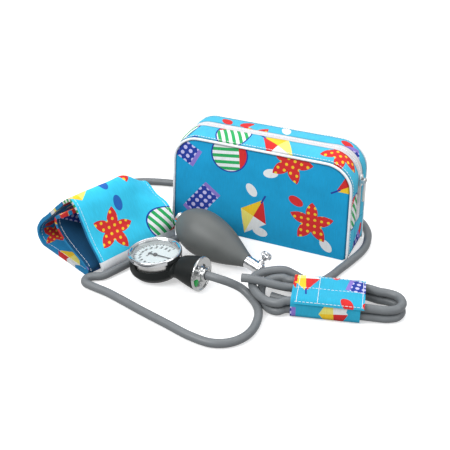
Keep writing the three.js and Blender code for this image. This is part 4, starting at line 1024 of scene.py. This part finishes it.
# The roll opens out towards its right end
def opened(a, u, z):
    s = smooth(a, 64, 96)
    swell = smooth(z, 6, 32) * (1 - 0.6 * smooth(z, 44, 64)) * smooth(u, -12, 20)
    return cuff @ Vector((a, u + s * cuffSet["swell"] * swell, z - s * cuffSet["sag"] * smooth(z, 36, 68)))


def cuffPlace(i, a, side, low, high):
    c = cuffSet
    p, d = cuffLine[i]
    t = i / c["steps"]
    left = c["shift"] + c["creep"] * t
    half = c["t"] / 2 * side
    edge = min(a - low, high - a)
    swell = 0.55 * smooth(edge, 0, 6) - 0.25
    away = t * cuffLength
    ripple = 0.5 * wobble(a, away, 0, 16, 1.7) + 0.3 * wobble(a, away, 0, 6, 4.1) * smooth(12 - edge, 0, 12)
    lift = half * (1 + 0.12 * swell) + (ripple * side if side < 0 else ripple * 0.5)
    return opened(left + a, p.x - d.y * lift, max(0.0, p.y + d.x * lift))


def cuffSheet(name, i0, i1, low, high, across, mats, slot, node):
    def rule(i, k, back):
        a = low + (high - low) * k / across
        v = (i0 + i) / cuffSet["steps"] * cuffLength
        return cuffPlace(i0 + i, a, 1 if back else -1, low, high), (a * mm, v * mm), 0

    return sheetPiece(name, i1 - i0 + 1, across, rule, "kit", slot, mats, [node],
                      innerFrom=cuffSet["innerFrom"] * cuffSet["steps"] - i0)


endSteps = round(cuffSet["end"] / cuffLength * cuffSet["steps"])
w = cuffSet["width"]
e = cuffSet["edge"]
sheetMats = [cuffCloth, liningCloth, liningCloth, shadedInnerCloth]
steps = cuffSet["steps"]
cuffBody = cuffSheet("cuffSheet", endSteps, steps, e, w - e, 60, sheetMats, "cuff_cloth", "cuff_sleeve")
(cuffLength - cuffSet["end"]) * mm
cuffSheet("cuffEdgeLeft", endSteps, steps, 0, e, 6, sheetMats, "cuff_cloth", "cuff_edge_left")
cuffSheet("cuffEdgeRight", endSteps, steps, w - e, w, 6, sheetMats, "cuff_cloth", "cuff_edge_right")
cuffSheet("cuffEndTape", 0, endSteps, 0, w, 60, whiteTape, "white_trim", "cuff_end_tape")


def cuffSpot(i, a, side):
    p = cuffPlace(i, a, side, 0, w)
    q = cuffPlace(i + 1, a, side, 0, w)
    r = cuffPlace(i, a + 1, side, 0, w)
    return p, q - p, (q - p).cross(r - p) * -side


stitches = []
for i in range(endSteps + 2, steps - 1, 3):
    for a in (e + 0.6, w - e - 0.6):
        for side in (-1, 1):
            p, along, up = cuffSpot(i, a, side)
            if up.length > 0 and p.z > 0.4:
                stitches.append(spotAt(p + up.normalized() * 0.15, along, up))
repeated("cuffStitches", stitchUnit(3.1, 0.27), stitches, "kit", "white_trim", threadWhite, 0.08, 4)

for key in ("gauge", "bulb"):
    place = cuff @ Matrix.Translation((portSet["a"], portSet[key + "U"], portSet["z"])) @ alongX
    lathe(key + "Port", eased([
        (0, -3.5), (3.6, -3.2), (5.2, -1), (5.2, 8), (4.7, 8.6), (4.1, 8.6), (4.1, 4), (0, 4)], 0.3, 3), 48, place,
          "kit", "bladder_rubber", bulbRubber)


# Rubber bladder, a thin flat bag inside the sheet
bladderSet = {"from": 12, "to": 84, "first": 0.46, "last": 0.7, "half": 0.5}


def bladderPiece():
    b = bladderSet
    first, last = (round(b[key] * cuffSet["steps"]) for key in ("first", "last"))

    def rule(i, k, back):
        q, d = cuffLine[first + i]
        side = b["half"] if back else -b["half"]
        left = cuffSet["shift"] + cuffSet["creep"] * (first + i) / cuffSet["steps"]
        a = left + b["from"] + (b["to"] - b["from"]) * k / 20
        return opened(a, q.x - d.y * side, max(0.0, q.y + d.x * side)), None, 0

    obj = sheetPiece("cuffBladder", last - first + 1, 20, rule, "kit", "bladder_rubber", bulbRubber, ["cuff_bladder"])


bladderPiece()
print("cuff")

# Wrap round the hank, its flap and its stitching
wrapSet = {"half": 31, "w": 22.5, "top": 20.5, "t": 1.4, "r": 5.4, "flapT": 1.3, "skew": 3.2, "flapWrap": 72,
           "rows": 110, "cols": 32, "flapRows": 60, "flapCols": 36}


def roundedLoop(half, top, r, base, count):
    line = arcs([(half - r, base + r, r, -90), (half - r, top - r, r, 0), (-half + r, top - r, r, 90),
                 (-half + r, base + r, r, 180)], 12)
    return evenly(line + [line[0]], count)


def wrapPiece():
    s = wrapSet
    count = s["rows"]
    loop, around = roundedLoop(s["w"] - 0.1, s["top"], s["r"], 0.0, count)
    inside, _ = roundedLoop(s["w"] - s["t"], s["top"] - s["t"], s["r"] - s["t"], s["t"], count)

    def rule(i, k, back):
        q = (inside if back else loop)[i][0]
        p = -s["half"] + 2 * s["half"] * k / s["cols"]
        spread = 1 + 0.012 * wobble(p, q.x, q.y, 11, 3.0)
        place = hank @ Vector((p, q.x * spread, max(0.0, q.y * spread)))
        return place, (p * mm, i / count * around * mm), 0

    obj = sheetPiece("hankWrap", count, s["cols"], rule, "kit", "wrap_cloth", wrapMats, ["hank_wrap"], wrap=True)
    around * mm


wrapMats = [wrapCloth, insideCloth, wrapCloth]
wrapPiece()


def flapLine(count):
    s = wrapSet
    off = 0.3 + s["flapT"] / 2
    line = [Vector((x, s["top"] + off, 0)) for x in (s["w"] - s["r"] - 1, 0)]
    return evenly(line + arcs([(-s["w"] + s["r"], s["top"] - s["r"], s["r"] + off, 90)], 12, s["flapWrap"]), count)


flapRows, flapLength = flapLine(wrapSet["flapRows"])


def flapPlace(i, k, side):
    s = wrapSet
    count = s["flapCols"]
    p, d = flapRows[i]
    along = -s["half"] + s["skew"] + 2 * s["half"] * k / count
    edge = min(i, len(flapRows) - 1 - i, k, count - k)
    puff = 0.45 * smooth(edge, 0, 5) + 0.5 * wobble(along, p.x, p.y, 13, 6.0)
    lift = s["flapT"] / 2 * side
    if side > 0:
        lift += max(-0.3, puff)
    return hank @ Vector((along, p.x + d.y * lift, p.y - d.x * lift))


def flapPiece():
    s = wrapSet
    across = 2 * s["half"]

    def rule(i, k, back):
        uv = (across * k / s["flapCols"] * mm, (i / s["flapRows"] * flapLength + 70) * mm)
        return flapPlace(i, k, -1 if back else 1), uv, 0

    obj = sheetPiece("hankFlap", s["flapRows"] + 1, s["flapCols"], rule, "kit", "wrap_cloth", wrapMats,
                     ["hank_wrap_flap"])
    flapLength * mm


flapPiece()
flapStitches = []


def flapStitch(i, k, i2, k2):
    a = flapPlace(i, k, 1)
    flapStitches.append(spotAt(a + Vector((0, 0, 0.2)), flapPlace(i2, k2, 1) - a, a - flapPlace(i, k, -1)))


for k in range(1, 36, 2):
    for i in (2, 30, 57):
        flapStitch(i, k, i, k + 1)
for i in range(2, 58, 3):
    for k in (1.2, 34.8, 12):
        flapStitch(i, k, i + 1, k)
repeated("flapStitches", stitchUnit(2.6, 0.24), flapStitches, "kit", "white_trim", threadWhite, 0.1, 7)
print("wrap")

# Bag: printed panels, gusset, piping, zip and seams
bagSet = {"w": 195, "h": 106, "d": 51, "corner": 28, "foot": 5, "lean": 0.05, "taper": 0.03, "pipe": 1.3,
          "zipY": 1.5, "zipEnd": 32, "tape": 4.7, "slump": 6, "gap": 0.3, "fold": 32.0, "lid": 32.3, "wall": 1.8,
          "panelT": 1.6, "pipeIn": 0.9, "pipeFoot": 1.6}
skinY = bagSet["d"] / 2
sideY = skinY - 2.3


def bagPoint(x, y, z):
    s = bagSet
    out = min(1.0, max(0.0, 2 * (s["zipY"] - y)) / s["d"]) ** 2
    x *= 1 - s["taper"] * z / s["h"]
    low = s["slump"] * out * max(0.0, z - s["zipEnd"]) / (s["h"] - s["zipEnd"])
    return bag @ Vector((x, y + s["lean"] * z, max(0.0, z - low)))


# Even points round the bag's outline, from the middle of its foot to the right, or only above a height
def outline(inset, foot, count, above=None):
    s = bagSet
    x = s["w"] / 2 - inset
    top = s["h"] - inset
    r = s["corner"] - inset
    f = max(0.6, s["foot"] - inset)
    line = arcs([(x - f, foot + f, f, -90), (x - r, top - r, r, 0), (-x + r, top - r, r, 90),
                 (-x + f, foot + f, f, 180)], 24)
    if above is None:
        line = [Vector((0, foot, 0))] + line + [Vector((0, foot, 0))]
    else:
        line = [Vector((x, above, 0))] + [p for p in line if p.y > above + 0.5] + [Vector((-x, above, 0))]
    rows, around = evenly(line, count)
    return [p for p, _ in rows], around


def outwardAt(line, i, closed):
    n = len(line) - 1
    a = line[(i - 1) % n] if closed else line[max(0, i - 1)]
    b = line[(i + 1) % n] if closed else line[min(n, i + 1)]
    d = (b - a).normalized()
    return Vector((d.y, -d.x, 0))


# A strip of the gusset or tape that follows the outline between two depths
def strip(name, inset, thick, y0, y1, above, body, slot, mats, node, across=14, puff=0.0, vOff=0.0, seam=(0, 0),
          bow=(0, 0)):
    count = 220
    line, around = outline(inset, inset, count, above)
    closed = above is None

    def rule(i, k, back):
        p = line[i]
        wide = smooth(p.x, 50, 92)
        y = y0 + wide * bow[0] + (y1 - y0 + wide * (bow[1] - bow[0])) * k / across
        # Painted shade: within 2.2 mm of each edge the cloth is darkened by that edge's given share, a shadow line
        # along the piping and the zip tape
        share = max(seam[0] * (1 - smooth(y - y0 - wide * bow[0], 0, 2.2)),
                    seam[1] * (1 - smooth(y1 + wide * bow[1] - y, 0, 2.2)))
        edge = min(k, across - k) / (across / 2)
        ripple = puff * (smooth(edge, 0, 1) - 0.4 + 0.8 * wobble(p.x, y, p.y, 15, 2.0)) if p.y > 4 else 0.0
        p = p - outwardAt(line, i, closed) * ((thick if back else 0.0) - ripple)
        return bagPoint(p.x, y, p.y), ((i / count * around + vOff) * mm, (y + 40) * mm), share

    return sheetPiece(name, count if closed else count + 1, across, rule, body, slot, mats, [node], wrap=closed)


# The gusset's cloth is stretched over the piping's frame; this only works out a strip's length and area in metres,
# and keeps neither
def stretched(width, length, less=0.0):
    length * mm
    (width * length - less) * mm * mm


sideMats = [litSideCloth, insideCloth, litSideCloth]
wall, fold, lidFrom = bagSet["wall"], bagSet["fold"], bagSet["lid"]
zipY, tape, gap = bagSet["zipY"], bagSet["tape"], bagSet["gap"]
frontGusset = strip("bagGussetFront", 0, wall, -sideY, zipY - tape - gap, None, "bag", "bag_cloth_side", sideMats,
                    "bag_body", puff=0.7, seam=(1, 0.5))
lidGusset = strip("bagGussetLid", 0, wall, zipY + tape + gap, sideY, lidFrom, "bag_lid", "bag_cloth_side", sideMats,
                  "bag_lid_side", puff=0.7, vOff=30, seam=(0.5, 1), bow=(3.2, 0))
strip("zipTapeFront", 0.3, 1.1, zipY - tape, zipY - gap, lidFrom, "bag", "white_trim", zipTape, "zip_tape_front",
      across=4)
strip("zipTapeRear", 0.3, 1.1, zipY + gap, zipY + tape, lidFrom, "bag_lid", "white_trim", zipTape, "zip_tape_rear",
      across=4, bow=(0, 3.2))
stretched(zipY - tape - gap + sideY, outline(0, 0, 220)[1])
stretched(sideY - zipY - tape - gap, outline(0, 0, 220, lidFrom)[1], 260)


# The gusset's rear foot, below the fold of the lid: a U of the same strip
def rearFoot():
    count = 400
    line, around = outline(0, 0, count)
    keep = [i for i in range(count - 1, -1, -1) if line[i].y <= fold]
    order = [i for i in keep if line[i].x >= 0] + [i for i in keep if line[i].x < 0]
    y0 = zipY - tape - gap

    def rule(i, k, back):
        p = line[order[i]] - outwardAt(line, order[i], True) * (wall if back else 0.0)
        y = y0 + (sideY - y0) * k / 12
        return bagPoint(p.x, y, p.y), (order[i] / count * around * mm, (y + 40) * mm), 0

    obj = sheetPiece("bagGussetRearFoot", len(order), 12, rule, "bag", "bag_cloth_side", sideMats, ())
    stretched(sideY - zipY + tape + gap, len(order) / count * around)


rearFoot()


# A printed panel inside the piping, puffed towards the middle; the lid's panel starts where the lower back ends
def panel(name, y0, body, node, seed, keepAbove=None, keepBelow=None):
    s = bagSet
    f = s["foot"]
    inset = 2 * s["pipe"] - 0.5
    x1 = s["w"] / 2 - inset
    top = s["h"] - inset
    low = keepAbove or s["gap"]
    high = keepBelow or top
    r = s["corner"] - inset
    outward = -1 if y0 < 0 else 1
    rows, cols = 64, 110

    def fromPipe(x, z):
        if z > top - r and x > x1 - r:
            return r - math.hypot(x - x1 + r, z - top + r)
        return min(x1 - x, top - z)

    def halfWidth(z):
        if z > top - r:
            return x1 - r + math.sqrt(max(0.0, r * r - (z - top + r) ** 2))
        if z < f:
            return x1 - f + math.sqrt(max(0.0, f * f - (f - max(z, s["gap"])) ** 2))
        return x1

    def share(t):
        if keepAbove:
            return math.sin(math.pi / 2 * t)
        return 1 - math.cos(math.pi / 2 * t) if keepBelow else 0.5 - 0.5 * math.cos(math.pi * t)

    def rule(i, k, back):
        z = low + (high - low) * share(i / rows)
        half = max(0.5, halfWidth(z))
        x = -half * math.cos(math.pi * k / cols)
        away = fromPipe(abs(x), z)
        y = y0 - outward * s["panelT"]
        if not back:
            flat = smooth(z - low, 1, 10) if keepAbove else smooth(high - z, 1, 10) if keepBelow else 1.0
            edge = min(half - abs(x), 30 if keepAbove else z - low, 30 if keepBelow else high - z)
            ripple = 0.5 * wobble(x, z, 0, 34, seed) + 0.35 * wobble(x, z, 0, 11, seed + 2) * smooth(22 - edge, 0, 22)
            y = y0 + outward * flat * (smooth(edge, 0, 26) * 1.6 + ripple * smooth(edge, 0, 5))
            y -= outward * 0.8 * (1 - smooth(away, 0, 2))
        # Painted shade: the panel's cloth darkens within 2.4 mm of the piping, a shadow line along the seam
        return bagPoint(x, y, z), ((x + 100) * mm, z * mm), 1 - smooth(away, 0.4, 2.4)

    mats = [frontCloth, insideCloth, frontCloth]
    obj = sheetPiece(name, rows + 1, cols, rule, body, "bag_cloth_front", mats, [node])
    stretched(2 * x1, high - low, 0 if keepBelow else 2 * (1 - math.pi / 4) * r * r)


panel("bagFront", -skinY, "bag", "bag_front_panel", 1.0)
panel("bagBackLower", skinY, "bag", "bag_back_lower", 4.0, keepBelow=fold)
panel("bagLidPanel", skinY, "bag_lid", "bag_lid_panel", 4.0, keepAbove=lidFrom)


def pipe(name, y, low, body, node, side=0):
    r = bagSet["pipe"]
    inset = r - 0.4
    line = outline(inset, 0, 160, low)[0][::4]
    if side:
        line = [Vector((side * (bagSet["w"] / 2 - inset), z, 0)) for z in (low, 12, 22, fold - 0.6)]
    rows, total = sampled([bagPoint(p.x, y, p.y) for p in line], 40 if side else 220)
    up = bag @ Vector((0, 1, 0)) - bag @ Vector((0, 0, 0))
    rings = []
    for q, way in rows:
        across = way.cross(up).normalized()
        rings.append([q + (across * math.cos(tau * i / 14) + up * math.sin(tau * i / 14)) * r for i in range(14)])
    uvs = [(j / len(rings) * total * mm, i / 14 * 8 * mm) for j in range(len(rings)) for i in range(14)]
    makePiece(name, *tubeOf(rings), body, "white_trim", whiteTape, [node], uvs=uvs)


pipeY = skinY - bagSet["pipeIn"]
pipe("bagPipingFront", -pipeY, bagSet["pipeFoot"], "bag", "bag_piping_front")
pipe("bagPipingLid", pipeY, lidFrom, "bag_lid", "bag_piping_lid")
for side, word in ((1, "Right"), (-1, "Left")):
    pipe("bagPipingRear" + word, pipeY, bagSet["pipeFoot"], "bag", "bag_piping_rear_" + word.lower(), side)


# Zip teeth, half on each tape, and the seams' stitches
zipSet = {"side": 0.55, "from": 33.5, "step": 1.7, "tooth": (0.8, 1.9, 1.0)}
seamSet = {"in": 1.6, "foot": 4.0, "lid": 33.0, "step": 3.0}


def alongOutline(inset, y, above, step, shift=0.0):
    fine = 600
    line, around = outline(inset, inset, fine, above)
    count = int((around - 2) / step)
    out = []
    for j in range(count):
        i = min(fine - 1, int((j + 0.5 + shift) / count * fine))
        p, q = line[i], line[i + 1]
        way = (q - p).normalized()
        normal = Vector((way.y, -way.x, 0))
        a = bagPoint(p.x, y, p.y)
        b = bagPoint(q.x, y, q.y)
        n = bagPoint(p.x + normal.x, y, p.y + normal.y) - a
        out.append(spotAt(a, b - a, n))
    return out


zipWhite = painted("zipWhite", 0.35, 400.0, (0.78, 0.8, 0.83), (0.9, 0.91, 0.93))
z = zipSet
for name, side, shift, body in (("zipTeethFront", -1, 0.0, "bag"), ("zipTeethRear", 1, 0.5, "bag_lid")):
    places = alongOutline(-0.05, zipY + side * z["side"], z["from"], z["step"], shift)
    repeated(name, boxUnit(*z["tooth"]), places, body, "white_trim", zipWhite, 0.0, 3)
for name, side, above, body in (("seamFront", -1, "foot", "bag"), ("seamLid", 1, "lid", "bag_lid")):
    places = alongOutline(-0.35, side * (sideY - seamSet["in"]), seamSet[above], seamSet["step"])
    repeated(name, stitchUnit(2.2, 0.28), places, body, "white_trim", threadWhite, 0.1, 5)
print("bag")

# Floor, backdrop and light
floorMesh = meshOf("floor", [(-3000, -3000, 0), (3000, -3000, 0), (3000, 3000, 0), (-3000, 3000, 0)], [(0, 1, 2, 3)])
floor = put("floor", floorMesh)
floor.location.z = -0.2 * mm
ground = material("floorWhite", Roughness=0.9, Base_Color=(0.2, 0.2, 0.2))
paper = ground.node("BsdfDiffuse", 0, {"Color": (0.72, 0.72, 0.72)})
glow, bright = (ground.node("Emission", 0, {"Color": (1.0, 1.0, 1.0), "Strength": power}) for power in (0.48, 0.7))
lit = ground.node("AddShader", 0, {0: paper, 1: glow})
mirrored = ground.ray("Glossy").calc("MAXIMUM", ground.ray("Transmission"))
shown = ground.node("MixShader", 0, {0: mirrored, 1: Sock(ground, ground.body.outputs[0]), 2: bright})
ground.plug(ground.out, ground.node("MixShader", 0, {0: ground.ray("Camera"), 1: shown, 2: lit}))
floorMesh.materials.append(ground.made)

world = bpy.data.worlds.new("World")
scene.world = world
world.use_nodes = True
world.node_tree.nodes.clear()
sky = Shader(world.node_tree)
seen = sky.ray("Camera").calc("MAXIMUM", sky.ray("Transmission"))
east, north, upward = sky.axes(sky.node("TexCoord", 0))
band = (upward * 3.6 + 0.35).calc("SINE").calc("MULTIPLY_ADD", 0.5, 0.5)
panelTurn = (north.calc("ARCTAN2", east) * 2.0 - 1.2).calc("SINE").calc("MULTIPLY_ADD", 0.5, 0.5)
shade = (band * panelTurn).calc("POWER", 1.2).calc("MAXIMUM", upward * 1.1 - 0.1)
shade = shade * (upward * 4.0).calc("MINIMUM", 1.0).calc("MAXIMUM", 0.0)
studio = sky.mix(shade, (0.05, 0.052, 0.055), (0.98, 0.99, 1.0))
lit = sky.mix(sky.ray("Glossy"), (0.74, 0.76, 0.79), studio)
back = sky.node("Background", 0, {"Color": sky.mix(seen, lit, (1.0, 1.0, 1.0)), "Strength": 1.0})
sky.plug(sky.tree.nodes.new("ShaderNodeOutputWorld").inputs[0], back)


def lamp(name, place, target, size, power):
    data = bpy.data.lights.new(name, "AREA")
    data.shape = "RECTANGLE"
    data.size, data.size_y = size
    data.energy = power
    aimed(put(name, data), place, target)


lamp("key", (-0.75, -0.6, 0.95), (-0.03, -0.05, 0.03), (0.6, 0.5), 9.0)
lamp("fill", (0.9, -0.5, 0.7), (0, 0, 0.03), (0.7, 0.7), 2.5)
lamp("top", (0.0, 0.3, 1.1), (0, 0, 0), (0.9, 0.5), 3.5)
scene.view_settings.view_transform = "Standard"
